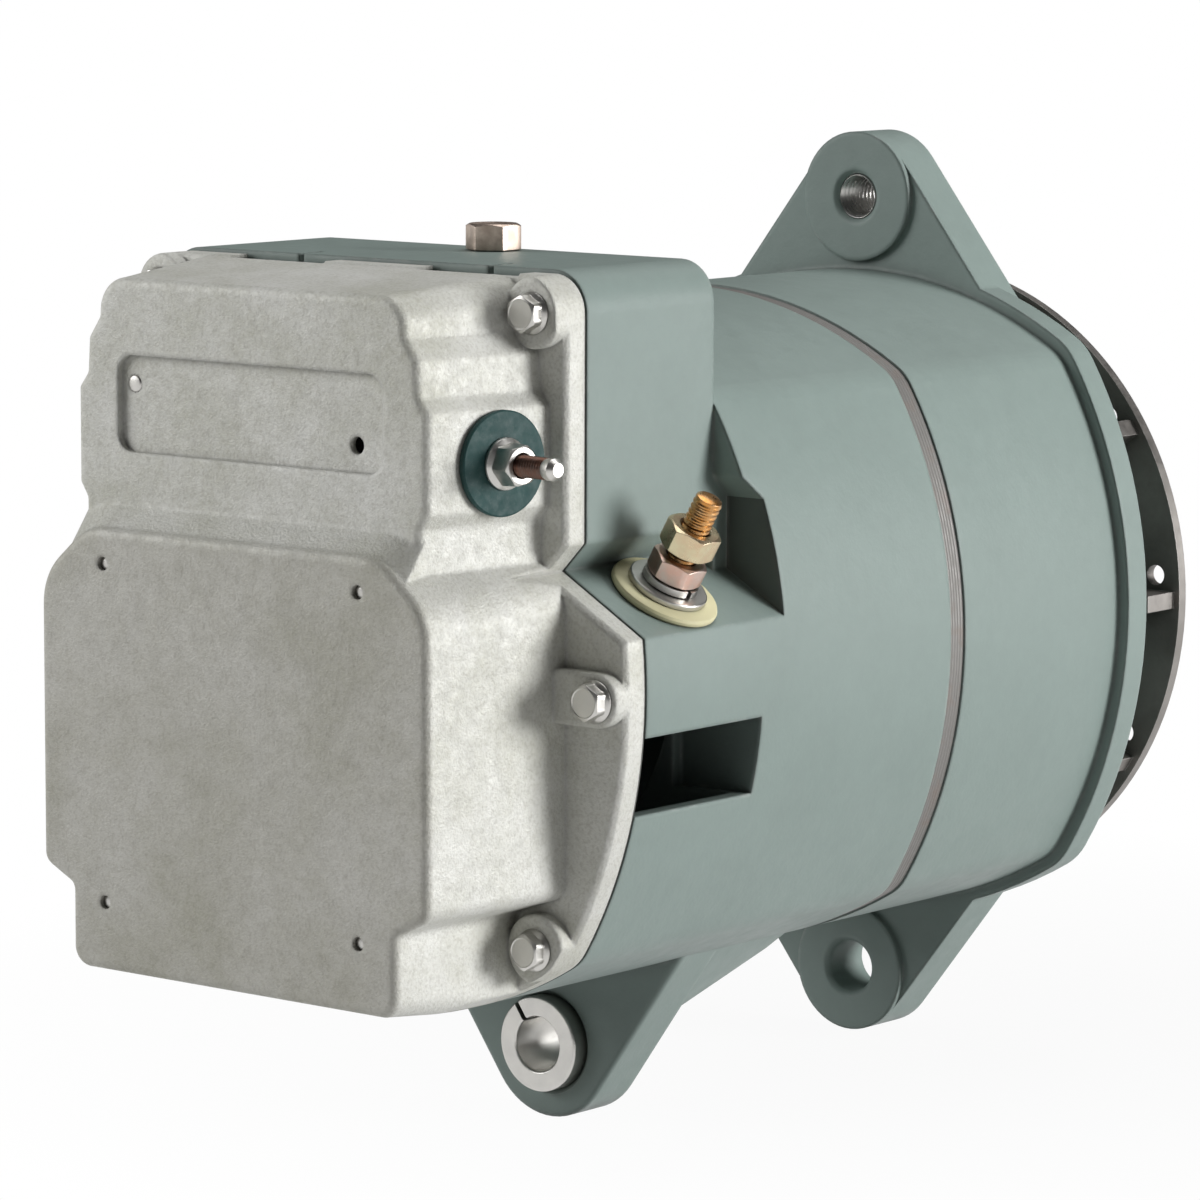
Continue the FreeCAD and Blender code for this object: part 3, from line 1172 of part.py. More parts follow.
def rotor_joining_ring():
    middle = (CORE_FRONT_Y + CORE_REAR_Y) / 2
    half = JOINING_RING_WIDTH / 2
    return ring(CLAW_INNER - PRESS_FIT, JOINING_RING_INNER, middle - half, middle + half)


def field_stations():
    tube_y = CORE_FRONT_Y - POLE_DISC_THICKNESS - FIELD_TUBE_GAP
    return tube_y, tube_y - FIELD_COIL_LENGTH, CORE_REAR_Y - FIELD_BASE_GAP


def field_core():
    tube_y, neck_y, base_y = field_stations()
    solids = [
        rod(FIELD_CORE_RADIUS, neck_y, tube_y),
        rod(FIELD_NECK_RADIUS, base_y, neck_y),
        rod(FIELD_BASE_RADIUS, BULKHEAD_FRONT_Y, base_y),
    ]
    cuts = [rod(FIELD_BORE_RADIUS, BULKHEAD_FRONT_Y, tube_y)]
    for x, z in on_circle(FIELD_SCREW_CIRCLE, 4, 45.0):
        depth = FIELD_SCREW_REACH + THREAD_RUNOUT
        cuts.append(rod(FIELD_SCREW_RADIUS + THREAD_FIT, BULKHEAD_FRONT_Y, BULKHEAD_FRONT_Y + depth, x, z))
    return without(fused(solids), cuts)


def field_coil():
    tube_y, neck_y, base_y = field_stations()
    return ring(FIELD_COIL_RADIUS, FIELD_CORE_RADIUS + SLIDE_FIT, neck_y, tube_y)


def field_core_screws():
    rearward = FreeCAD.Vector(0, -1, 0)
    length = BULKHEAD_THICKNESS + FIELD_SCREW_REACH
    head = upright_rod(FIELD_HEAD_RADIUS, FIELD_HEAD_HEIGHT)
    screw = fused([head, upright_rod(FIELD_SCREW_RADIUS, length, -length)])
    places = on_circle(FIELD_SCREW_CIRCLE, 4, 45.0)
    return Part.makeCompound([aimed(screw, point(x, z, BULKHEAD_REAR_Y), rearward) for x, z in places])


# Bearings
def ball_groove():
    return Part.makeTorus(BALL_CIRCLE, BALL_RADIUS + BALL_FIT, point(0, 0, FRONT_BEARING_MID_Y), Y_AXIS)


def front_bearing_outer_race():
    inner = BALL_CIRCLE + RACE_SHOULDER
    return ring(FRONT_BEARING_OUTER, inner, FRONT_BEARING_REAR_Y, FRONT_BEARING_FRONT_Y).cut(ball_groove())


def front_bearing_inner_race():
    outer = BALL_CIRCLE - RACE_SHOULDER
    bore = FRONT_BEARING_BORE + PRESS_FIT
    return ring(outer, bore, FRONT_BEARING_REAR_Y, FRONT_BEARING_FRONT_Y).cut(ball_groove())


def front_bearing_balls():
    centres = [point(x, z, FRONT_BEARING_MID_Y) for x, z in on_circle(BALL_CIRCLE, BALL_COUNT)]
    return Part.makeCompound([Part.makeSphere(BALL_RADIUS, centre) for centre in centres])


def front_bearing_cage():
    half = CAGE_WIDTH / 2
    band = ring(BALL_CIRCLE + CAGE_THICKNESS / 2, BALL_CIRCLE - CAGE_THICKNESS / 2,
                FRONT_BEARING_MID_Y - half, FRONT_BEARING_MID_Y + half)
    pockets = []
    for x, z in on_circle(1.0, BALL_COUNT):
        outward = FreeCAD.Vector(x, 0, z)
        centre = FreeCAD.Vector(0, FRONT_BEARING_MID_Y, 0)
        pockets.append(Part.makeCylinder(BALL_RADIUS + POCKET_FIT, 2 * BALL_CIRCLE, centre, outward))
    return without(band, pockets)


def front_bearing_shields():
    outer = BALL_CIRCLE + RACE_SHOULDER - PRESS_FIT
    inner = BALL_CIRCLE - RACE_SHOULDER + SHIELD_MARGIN
    rear = ring(outer, inner, FRONT_BEARING_REAR_Y, FRONT_BEARING_REAR_Y + SHIELD_THICKNESS)
    front = ring(outer, inner, FRONT_BEARING_FRONT_Y - SHIELD_THICKNESS, FRONT_BEARING_FRONT_Y)
    return Part.makeCompound([rear, front])


def bearing_retainer():
    rear_y = FRONT_BEARING_REAR_Y - RETAINER_THICKNESS
    plate = ring(RETAINER_RADIUS, RETAINER_BORE, rear_y, FRONT_BEARING_REAR_Y)
    holes = []
    for x, z in on_circle(RETAINER_SCREW_CIRCLE, 4, 45.0):
        holes.append(rod(RETAINER_SCREW_RADIUS + SLIDE_FIT, rear_y, FRONT_BEARING_REAR_Y, x, z))
    return without(plate, holes)


def retainer_screws():
    rearward = FreeCAD.Vector(0, -1, 0)
    seat = FRONT_BEARING_REAR_Y - RETAINER_THICKNESS
    length = RETAINER_THICKNESS + RETAINER_SCREW_REACH - THREAD_RUNOUT
    head = upright_rod(RETAINER_HEAD_RADIUS, RETAINER_HEAD_HEIGHT)
    screw = fused([head, upright_rod(RETAINER_SCREW_RADIUS, length, -length)])
    places = on_circle(RETAINER_SCREW_CIRCLE, 4, 45.0)
    return Part.makeCompound([aimed(screw, point(x, z, seat), rearward) for x, z in places])


def rear_bearing_outer_race():
    inner = ROLLER_PITCH_RADIUS + ROLLER_RADIUS + BALL_FIT
    return ring(REAR_BEARING_OUTER, inner, REAR_BEARING_REAR_Y, REAR_BEARING_FRONT_Y)


def rear_bearing_inner_race():
    outer = ROLLER_PITCH_RADIUS - ROLLER_RADIUS - BALL_FIT
    return ring(outer, REAR_JOURNAL_RADIUS + PRESS_FIT, REAR_BEARING_REAR_Y, REAR_BEARING_FRONT_Y)


def roller_set(radius, length):
    low = REAR_BEARING_MID_Y - length / 2
    return [rod(radius, low, low + length, x, z) for x, z in on_circle(ROLLER_PITCH_RADIUS, ROLLER_COUNT)]


def rear_bearing_rollers():
    return Part.makeCompound(roller_set(ROLLER_RADIUS, ROLLER_LENGTH))


def rear_bearing_cage():
    half = ROLLER_CAGE_WIDTH / 2
    thick = ROLLER_CAGE_THICKNESS / 2
    band = ring(ROLLER_PITCH_RADIUS + thick, ROLLER_PITCH_RADIUS - thick,
                REAR_BEARING_MID_Y - half, REAR_BEARING_MID_Y + half)
    return without(band, roller_set(ROLLER_RADIUS + POCKET_FIT, ROLLER_LENGTH + 2 * POCKET_FIT))


# Fan and drive end
def fan():
    front_y = -FAN_DISC_SETBACK
    disc = rod(FAN_RADIUS, FAN_DISC_REAR_Y, front_y)
    hub = rod(FAN_HUB_RADIUS, FAN_HUB_REAR_Y, 0.0)
    solids = [disc, hub]
    for step in range(FAN_BLADE_COUNT):
        blade = box(FAN_BLADE_INNER, FAN_RADIUS - FAN_BLADE_MARGIN, FAN_HUB_REAR_Y, front_y,
                    -FAN_BLADE_THICKNESS / 2, FAN_BLADE_THICKNESS / 2)
        blade.rotate(FreeCAD.Vector(0, 0, 0), Y_AXIS, -360.0 * step / FAN_BLADE_COUNT)
        solids.append(blade)
    cuts = [rod(FAN_SEAT_RADIUS + SLIDE_FIT, FAN_HUB_REAR_Y, 0.0)]
    for x, z in on_circle(FAN_RELIEF_CIRCLE, FAN_BLADE_COUNT, FAN_RELIEF_OFFSET):
        cuts.append(rod(FAN_RELIEF_RADIUS, FAN_DISC_REAR_Y, front_y, x, z))
    return without(fused(solids), cuts)


def fan_spacer():
    return ring(SPACER_RADIUS, FAN_SEAT_RADIUS + SLIDE_FIT, FRONT_BEARING_FRONT_Y, FAN_HUB_REAR_Y)


# Rear hinge bushing
def hinge_bushing():
    rear_y = REAR_LUG_REAR_Y - BUSHING_PROUD
    ring_shape = ring(BUSHING_RADIUS, HINGE_BORE_RADIUS, rear_y, REAR_LUG_FRONT_Y)
    ring_shape = softened(ring_shape, rear_y, BUSHING_EDGE)
    slot = box(0.0, 2 * BUSHING_RADIUS, rear_y, REAR_LUG_FRONT_Y, -BUSHING_SLOT / 2, BUSHING_SLOT / 2)
    slot.rotate(FreeCAD.Vector(0, 0, 0), Y_AXIS, -BUSHING_SLOT_ANGLE)
    split = ring_shape.cut(slot)
    split.translate(point(0, -LUG_DROP))
    return split


# Rectifier
def diode_places():
    places = []
    for column in (-1, 0, 1):
        for row in (-1, 1):
            places.append((column * LEAD_PITCH, DIODE_MID_Z + row * DIODE_ROW_OFFSET))
    return places


def sink_plate(y_from, y_to):
    plate = box(-SINK_HALF, SINK_HALF, y_from, y_to, SINK_BOTTOM, SINK_BOTTOM + SINK_HEIGHT)
    return without(plate, [rod(SINK_SCREW_RADIUS + SLIDE_FIT, y_from, y_to, x, z)
                           for x, z in both_sides(SPACER_PLACES)])


def negative_heat_sink():
    plate = sink_plate(NEGATIVE_SINK_Y, HOUSING_INNER_Y)
    holes = [rod(LEAD_HOLE_RADIUS, NEGATIVE_SINK_Y, HOUSING_INNER_Y, step * LEAD_PITCH, LEAD_Z)
             for step in (-1, 0, 1)]
    return without(plate, holes)


def positive_heat_sink():
    plate = sink_plate(POSITIVE_SINK_REAR_Y, POSITIVE_SINK_FRONT_Y)
    fins = []
    for column in (-1.5, -0.5, 0.5, 1.5):
        x = column * LEAD_PITCH / 2
        fins.append(box(x - 1.0, x + 1.0, POSITIVE_SINK_REAR_Y - 2 * SINK_THICKNESS, POSITIVE_SINK_REAR_Y,
                        SINK_BOTTOM, SINK_BOTTOM + SINK_HEIGHT))
    return fused([plate] + fins)


def rectifier_diodes():
    diodes = []
    for x, z in diode_places():
        diodes.append(rod(DIODE_RADIUS, STRAP_FRONT_Y, NEGATIVE_SINK_Y, x, z))
        diodes.append(rod(DIODE_RADIUS, POSITIVE_SINK_FRONT_Y, STRAP_REAR_Y, x, z))
    return Part.makeCompound(diodes)


def phase_straps():
    low = DIODE_MID_Z - STRAP_HEIGHT / 2
    straps = []
    for step in (-1, 0, 1):
        x = step * LEAD_PITCH
        left, right = x - STRAP_WIDTH / 2, x + STRAP_WIDTH / 2
        straps.append(box(left, right, STRAP_REAR_Y, STRAP_FRONT_Y, low, low + STRAP_HEIGHT))
    return Part.makeCompound(straps)


def heat_sink_standoffs():
    bore = SINK_SCREW_RADIUS + SLIDE_FIT
    return Part.makeCompound([ring(STANDOFF_RADIUS, bore, POSITIVE_SINK_FRONT_Y, NEGATIVE_SINK_Y, x, z)
                              for x, z in both_sides(SPACER_PLACES)])


def heat_sink_screws():
    screws = []
    for x, z in both_sides(SPACER_PLACES):
        head_y = POSITIVE_SINK_REAR_Y - SINK_SCREW_HEAD
        head = rod(SINK_SCREW_HEAD_RADIUS, head_y, POSITIVE_SINK_REAR_Y, x, z)
        tip_y = HOUSING_INNER_Y + SINK_SCREW_BITE - THREAD_RUNOUT / 3
        shank = rod(SINK_SCREW_RADIUS, POSITIVE_SINK_REAR_Y, tip_y, x, z)
        screws.append(fused([head, shank]))
    return Part.makeCompound(screws)


def output_bus_bar():
    """Bent strip from the positive heat sink to the underside of the platform."""
    slope = math.radians(PLATFORM_ANGLE)
    down_x, down_z = math.cos(slope), -math.sin(slope)
    left = SINK_HALF
    right = SINK_HALF + BUS_THICKNESS
    low = BUS_TOP_DEPTH + BUS_THICKNESS
    top = SINK_BOTTOM + BUS_OVERLAP
    tail_x = OUTPUT_STUD_X + BUS_TAIL * down_x
    top_line = platform_height(tail_x, BUS_TOP_DEPTH)
    low_line = platform_height(tail_x, low)
    corners = [
        (left, top),
        (left, platform_height(left, low)),
        (tail_x, low_line),
        (tail_x, top_line),
        (right, platform_height(right, BUS_TOP_DEPTH)),
        (right, top),
    ]
    middle = OUTPUT_STUD_Y
    strip = prism(polygon_face(corners), middle - BUS_WIDTH / 2, middle + BUS_WIDTH / 2)
    hole = upright_rod(OUTPUT_STUD_RADIUS + SLIDE_FIT, 4 * HOUSING_WALL, -3.5 * HOUSING_WALL)
    hole = aimed(hole, output_base(), output_axis())
    return strip.cut(hole)


# Output terminal, stacked along the leaning stud
def on_platform(solid):
    return aimed(solid, output_base(), output_axis())


def output_stud():
    depth = BUS_TOP_DEPTH + BUS_THICKNESS
    shank = upright_rod(OUTPUT_STUD_RADIUS, depth + OUTPUT_STUD_HEIGHT, -depth)
    top = OUTPUT_STUD_HEIGHT
    rim = [edge for edge in shank.Edges if abs(edge.BoundBox.ZMin - top) < 1e-6]
    shank = shank.makeChamfer(SHAFT_CHAMFER, rim)
    head = upright_hexagon(OUTPUT_NUT_FLATS, OUTPUT_HEAD_HEIGHT, -depth - OUTPUT_HEAD_HEIGHT)
    return on_platform(fused([shank, head]))


def output_insulator():
    bore = OUTPUT_STUD_RADIUS + SLIDE_FIT
    disc = upright_ring(OUTPUT_DISC_RADIUS, bore, OUTPUT_DISC_THICKNESS)
    sleeve = upright_ring(OUTPUT_HOLE_RADIUS - SLIDE_FIT, bore, HOUSING_WALL, -HOUSING_WALL)
    inner = upright_ring(OUTPUT_INNER_WASHER_RADIUS, bore, OUTPUT_INNER_WASHER, -BUS_TOP_DEPTH)
    return Part.makeCompound([on_platform(fused([disc, sleeve])), on_platform(inner)])


def output_flat_washer():
    return on_platform(upright_ring(OUTPUT_WASHER_RADIUS, OUTPUT_STUD_RADIUS + SLIDE_FIT,
                                    OUTPUT_WASHER_THICKNESS, WASHER_BASE))


def output_lock_washer():
    bore = OUTPUT_STUD_RADIUS + SLIDE_FIT
    whole = upright_ring(LOCK_WASHER_RADIUS, bore, LOCK_WASHER_THICKNESS, LOCK_BASE)
    slot = Part.makeBox(2 * LOCK_WASHER_RADIUS, LOCK_WASHER_SLOT, LOCK_WASHER_THICKNESS,
                        FreeCAD.Vector(0, -LOCK_WASHER_SLOT / 2, LOCK_BASE))
    slot.rotate(FreeCAD.Vector(0, 0, 0), Z_AXIS, -LOCK_SLOT_ANGLE)
    return on_platform(whole.cut(slot))


def threaded_nut(flats, height, base):
    bore = upright_rod(OUTPUT_STUD_RADIUS + THREAD_FIT, height, base)
    return upright_hexagon(flats, height, base).cut(bore)


def output_lower_nut():
    return on_platform(threaded_nut(OUTPUT_NUT_FLATS, LOWER_NUT_HEIGHT, LOWER_NUT_BASE))


def output_upper_nut():
    return on_platform(threaded_nut(OUTPUT_NUT_FLATS, UPPER_NUT_HEIGHT, UPPER_NUT_BASE))


# Small side terminal, stacked outwards from the cover's side
def on_cover_side(solid):
    return aimed(solid, relay_base(), relay_axis())


def relay_stud():
    depth = COVER_WALL + RELAY_DISC_THICKNESS
    shank = upright_rod(RELAY_STUD_RADIUS, depth + RELAY_STUD_LENGTH, -depth)
    head = upright_rod(RELAY_HEAD_RADIUS, RELAY_HEAD_HEIGHT, -depth - RELAY_HEAD_HEIGHT)
    return on_cover_side(fused([shank, head]))


def relay_insulator():
    bore = RELAY_STUD_RADIUS + SLIDE_FIT
    disc = upright_ring(RELAY_DISC_RADIUS, bore, RELAY_DISC_THICKNESS)
    sleeve = upright_ring(RELAY_HOLE_RADIUS - SLIDE_FIT, bore, COVER_WALL, -COVER_WALL)
    inner = upright_ring(RELAY_INNER_RADIUS, bore, RELAY_DISC_THICKNESS, -COVER_WALL - RELAY_DISC_THICKNESS)
    return Part.makeCompound([on_cover_side(fused([disc, sleeve])), on_cover_side(inner)])


def relay_nut():
    base = RELAY_DISC_THICKNESS
    flange = upright_rod(RELAY_NUT_FLANGE_RADIUS, RELAY_NUT_FLANGE, base)
    body = upright_hexagon(RELAY_NUT_FLATS, RELAY_NUT_HEIGHT, base + RELAY_NUT_FLANGE)
    hole = upright_rod(RELAY_STUD_RADIUS + THREAD_FIT, RELAY_NUT_FLANGE + RELAY_NUT_HEIGHT, base)
    return on_cover_side(fused([flange, body]).cut(hole))


def ground_screw():
    head = upright_hexagon(GROUND_SCREW_FLATS, GROUND_SCREW_HEAD)
    shank = upright_rod(GROUND_SCREW_RADIUS, GROUND_SCREW_REACH, -GROUND_SCREW_REACH)
    return aimed(fused([head, shank]), ground_place(HOUSING_TOP), Z_AXIS)


# Electronics
def regulator():
    rear_y = COVER_LOWER_Y + COVER_WALL
    front_y = rear_y + REGULATOR_DEPTH
    top = REGULATOR_BOTTOM + REGULATOR_HEIGHT
    body = box(-REGULATOR_HALF, REGULATOR_HALF, rear_y, front_y, REGULATOR_BOTTOM, top)
    solids = [body]
    pitch = 2 * REGULATOR_HALF / (REGULATOR_RIB_COUNT + 1)
    for step in range(REGULATOR_RIB_COUNT):
        x = -REGULATOR_HALF + (step + 1) * pitch
        left, right = x - REGULATOR_RIB_HALF, x + REGULATOR_RIB_HALF
        solids.append(box(left, right, front_y, front_y + REGULATOR_RIB_DEPTH, REGULATOR_BOTTOM, top))
    depth = PIN_SINK + PIN_LENGTH - COVER_WALL
    holes = [rod(PIN_RADIUS + PRESS_FIT, rear_y, rear_y + depth, x, z) for x, z in pin_places()]
    return without(fused(solids), holes)


def capacitor():
    half = CAPACITOR_LENGTH / 2
    wall_radius = BODY_SIDE_RADIUS - HOUSING_WALL
    wall_z = math.sqrt(wall_radius ** 2 - (half + CAPACITOR_CAP) ** 2) - BODY_SHIFT
    z = SEAT_GAP + CAPACITOR_RADIUS - wall_z
    y = JOINT_Y + CAPACITOR_SETBACK
    can = Part.makeCylinder(CAPACITOR_RADIUS, CAPACITOR_LENGTH, FreeCAD.Vector(-half, y, z), X_AXIS)
    cap = Part.makeCylinder(CAPACITOR_CAP_RADIUS, CAPACITOR_CAP, FreeCAD.Vector(half, y, z), X_AXIS)
    return fused([can, cap])


def diode_trio():
    rear_y = REAR_HUB_REAR_Y - TRIO_DEPTH
    return box(-TRIO_HALF, TRIO_HALF, rear_y, REAR_HUB_REAR_Y, TRIO_BOTTOM, TRIO_BOTTOM + TRIO_HEIGHT)


NODES = {
    "rear_cover": rear_cover,
    "cover_gasket": cover_gasket,
    "cover_screws": cover_screws,
    "cover_pins": cover_pins,
    "rear_frame": rear_frame,
    "front_frame": front_frame,
    "stator_core": stator_core,
    "stator_winding": stator_winding,
    "phase_leads": phase_leads,
    "frame_bolts": frame_bolts,
    "rotor_shaft": rotor_shaft,
    "shaft_washer": shaft_washer,
    "shaft_nut": shaft_nut,
    "rotor_front_poles": rotor_front_poles,
    "rotor_rear_poles": rotor_rear_poles,
    "rotor_joining_ring": rotor_joining_ring,
    "field_core": field_core,
    "field_coil": field_coil,
    "field_core_screws": field_core_screws,
    "front_bearing_outer_race": front_bearing_outer_race,
    "front_bearing_inner_race": front_bearing_inner_race,
    "front_bearing_balls": front_bearing_balls,
    "front_bearing_cage": front_bearing_cage,
    "front_bearing_shields": front_bearing_shields,
    "bearing_retainer": bearing_retainer,
    "retainer_screws": retainer_screws,
    "rear_bearing_outer_race": rear_bearing_outer_race,
    "rear_bearing_inner_race": rear_bearing_inner_race,
    "rear_bearing_rollers": rear_bearing_rollers,
    "rear_bearing_cage": rear_bearing_cage,
    "fan": fan,
    "fan_spacer": fan_spacer,
    "hinge_bushing": hinge_bushing,
    "negative_heat_sink": negative_heat_sink,
    "positive_heat_sink": positive_heat_sink,
    "rectifier_diodes": rectifier_diodes,
    "phase_straps": phase_straps,
    "heat_sink_standoffs": heat_sink_standoffs,
    "heat_sink_screws": heat_sink_screws,
    "output_bus_bar": output_bus_bar,
    "output_stud": output_stud,
    "output_insulator": output_insulator,
    "output_flat_washer": output_flat_washer,
    "output_lock_washer": output_lock_washer,
    "output_lower_nut": output_lower_nut,
    "output_upper_nut": output_upper_nut,
    "relay_stud": relay_stud,
    "relay_insulator": relay_insulator,
    "relay_nut": relay_nut,
    "ground_screw": ground_screw,
    "regulator": regulator,
    "capacitor": capacitor,
    "diode_trio": diode_trio,
}

os.makedirs("parts", exist_ok=True)
for name, make in NODES.items():
    shape = make()
    shape.exportStep("parts/" + name + ".step")
    solids = shape.Solids
    valid = all(solid.isValid() and solid.isClosed() for solid in solids)
    volume = round(sum(solid.Volume for solid in solids) / 1000, 2)
    print(name, len(solids), "solids", "valid" if valid else "NOT VALID", volume, "cm3")
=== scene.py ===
"""Heavy-duty brushless alternator: finishes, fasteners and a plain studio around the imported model."""
import json
import math

import bmesh
import bpy
from bpy.props import FloatProperty, FloatVectorProperty, IntProperty, PointerProperty
from mathutils import Matrix, Vector


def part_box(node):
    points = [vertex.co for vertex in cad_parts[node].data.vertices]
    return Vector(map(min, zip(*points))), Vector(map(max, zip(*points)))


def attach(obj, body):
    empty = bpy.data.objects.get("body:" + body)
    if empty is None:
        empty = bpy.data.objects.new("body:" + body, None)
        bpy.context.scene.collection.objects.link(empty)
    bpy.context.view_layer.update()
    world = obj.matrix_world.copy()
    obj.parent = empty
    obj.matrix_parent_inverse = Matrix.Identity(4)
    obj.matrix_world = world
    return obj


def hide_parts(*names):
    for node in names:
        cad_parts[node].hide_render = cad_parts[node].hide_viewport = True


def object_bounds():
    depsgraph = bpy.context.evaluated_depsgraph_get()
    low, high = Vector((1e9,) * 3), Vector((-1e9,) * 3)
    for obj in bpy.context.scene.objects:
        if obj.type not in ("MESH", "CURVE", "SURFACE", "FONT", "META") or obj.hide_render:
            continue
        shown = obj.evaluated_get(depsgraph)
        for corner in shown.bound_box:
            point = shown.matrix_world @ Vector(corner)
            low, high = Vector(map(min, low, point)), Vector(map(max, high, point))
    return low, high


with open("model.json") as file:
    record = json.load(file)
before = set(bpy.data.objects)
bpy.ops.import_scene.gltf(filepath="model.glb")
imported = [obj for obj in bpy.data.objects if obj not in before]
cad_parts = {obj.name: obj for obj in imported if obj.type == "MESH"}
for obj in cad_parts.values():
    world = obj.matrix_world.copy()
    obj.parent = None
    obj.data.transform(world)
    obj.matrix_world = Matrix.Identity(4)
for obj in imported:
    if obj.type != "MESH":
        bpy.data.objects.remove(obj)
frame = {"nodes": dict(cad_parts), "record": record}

MODEL_BOX = [list(corner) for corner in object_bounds()]
MM = 0.001
TO_FRONT = (0.0, 1.0, 0.0)
TO_REAR = (0.0, -1.0, 0.0)
UPWARDS = (0.0, 0.0, 1.0)
WHITE = (1.0, 1.0, 1.0, 1.0)

# Angle in degrees above which an edge is drawn sharp
PLAIN_SHARP = 30.0
THREAD_SHARP = 50.0

# Hexagon of the larger nuts and heads: millimetres across flats, and the rim's share of them
HEX_FLATS = 11.1
HEX_RIM = 0.475
HEX_HALF = math.radians(30.0)

# Outline of the body: broad arcs drawn from beyond the axis, and the corner arcs between them
OUTLINE_BROAD = 109.0 * MM
OUTLINE_SHIFT = 32.5 * MM
OUTLINE_BEND = 12.0 * MM
OUTLINE_CORNER = 50.386 * MM
OUTLINE_FACETS = 288

# Lamps: name, offset from the part's middle in metres, diameter and the name of the power setting
LAMPS = (
    ("key_lamp", (1.42, 0.63, 0.25), 0.7, "key_power"),
    ("top_lamp", (0.10, 0.35, 1.30), 1.1, "top_power"),
    ("fill_lamp", (-1.05, -0.95, 0.65), 1.0, "fill_power"),
)
SENSOR_WIDTH = 36.0

bl_info = {
    "name": "Alternator looks",
    "version": (1, 0, 0),
    "blender": (4, 5, 0),
    "location": "3D View > Sidebar > Alternator",
    "description": "Finishes, fasteners and studio for a heavy-duty alternator",
    "category": "Object",
}


# Property helpers
def paint_tone(red, green, blue):
    """Turns screen values from 0 to 255 into the scene's linear ones."""
    scaled = [value / 255.0 for value in (red, green, blue)]
    return [value / 12.92 if value <= 0.04045 else ((value + 0.055) / 1.055) ** 2.4
            for value in scaled]


def tone(name, description, red, green, blue):
    return FloatVectorProperty(name=name, description=description, subtype="COLOR", size=3,
                               min=0.0, max=1.0, default=paint_tone(red, green, blue))


def length(name, description, millimetres):
    return FloatProperty(name=name, description=description, subtype="DISTANCE", unit="LENGTH",
                         min=0.0, precision=5, default=millimetres * MM)


def plain(name, description, value):
    return FloatProperty(name=name, description=description, min=0.0, default=value)


class AlternatorTones(bpy.types.PropertyGroup):
    """Colours of the finishes."""
    cast: tone("Cast aluminium", "Bare casting of the rear cover", 224, 224, 219)
    cast_stain: tone("Casting stain", "Darker patches on the bare casting", 182, 182, 166)
    # Besides the random sand marks, this colour darkens the cover's lower face, partly as painted shade.
    cast_shade: tone("Lower face", "Duller beige of the cover's lower face", 140, 134, 118)
    frame_paint: tone("Frame paint", "Grey-green paint of the two frames", 142, 157, 152)
    frame_shade: tone("Paint mottling", "Darker patches in the frame paint", 126, 139, 134)
    # Grime also serves as painted shade: the finishes blend it into corners by ambient occlusion and onto
    # the terminal pocket's end wall.
    grime_and_shade: tone("Grime", "Dirt that settles in corners", 52, 50, 46)
    bare_edge: tone("Bare edge", "Metal that shows where a finish has worn", 214, 214, 210)
    steel: tone("Machined steel", "Turned and ground steel", 190, 189, 186)
    dark_steel: tone("Dark steel", "Oiled or forged steel", 92, 88, 84)
    fan: tone("Fan sheet", "Rolled sheet of the fan", 158, 154, 150)
    zinc: tone("Zinc plate", "Clear zinc plating", 205, 203, 198)
    gold: tone("Yellow zinc", "Yellow chromate on zinc plating", 212, 202, 168)
    bronze: tone("Brown stud", "Tarnished copper plating on the small stud", 104, 74, 62)
    amber: tone("Amber zinc", "Deep yellow chromate on the output stud", 196, 138, 76)
    copper_pale: tone("Pale copper plate", "Copper-coloured plating of the ground screw", 222, 204, 190)
    gold_bloom: tone("Yellow zinc bloom", "Pinker patches in the yellow chromate", 204, 172, 140)
    copper_plate: tone("Copper plate", "Copper-coloured plating", 222, 184, 168)
    copper_dull: tone("Copper tarnish", "Brown tarnish on the copper plating", 138, 106, 90)
    winding: tone("Winding", "Varnished copper wire", 150, 74, 38)
    lamination: tone("Laminations", "Edge of the stacked core sheets", 136, 134, 131)
    teal: tone("Teal plastic", "Insulator of the small terminal", 14, 66, 64)
    cream: tone("Cream plastic", "Insulator of the output terminal", 226, 220, 178)
    black: tone("Black plastic", "Moulded plastic", 34, 34, 35)
    gasket: tone("Gasket", "Fibre sheet between cover and frame", 78, 77, 74)
    sink: tone("Heat sink", "Extruded aluminium", 196, 197, 199)
    brass: tone("Brass", "Bearing cages", 196, 164, 96)


class AlternatorSizes(bpy.types.PropertyGroup):
    """Sizes of the fine detail."""
    casting_grain: length("Casting grain", "Size of the sand grain on the castings", 0.55)
    paint_grain: length("Paint grain", "Size of the ripple in the paint", 1.1)
    casting_edge: length("Casting edge", "Radius that softens the castings' edges", 1.6)
    plated_edge: length("Plated edge", "Radius that softens plated edges", 0.25)
    sheet_pitch: length("Lamination pitch", "Thickness of two core sheets", 1.0)
    output_thread: length("Output thread pitch", "Pitch of the output stud's thread", 1.27)
    relay_thread: length("Small thread pitch", "Pitch of the small stud's thread", 0.8)
    shaft_thread: length("Shaft thread pitch", "Pitch of the shaft end's thread", 1.5)
    lug_thread: length("Lug thread pitch", "Pitch of the adjusting hole's thread", 1.5)
    chamfer: length("Fastener chamfer", "Chamfer on nuts, heads and stud ends", 0.45)
    facets: IntProperty(name="Facets", description="Divisions round a fastener", min=24, default=48)


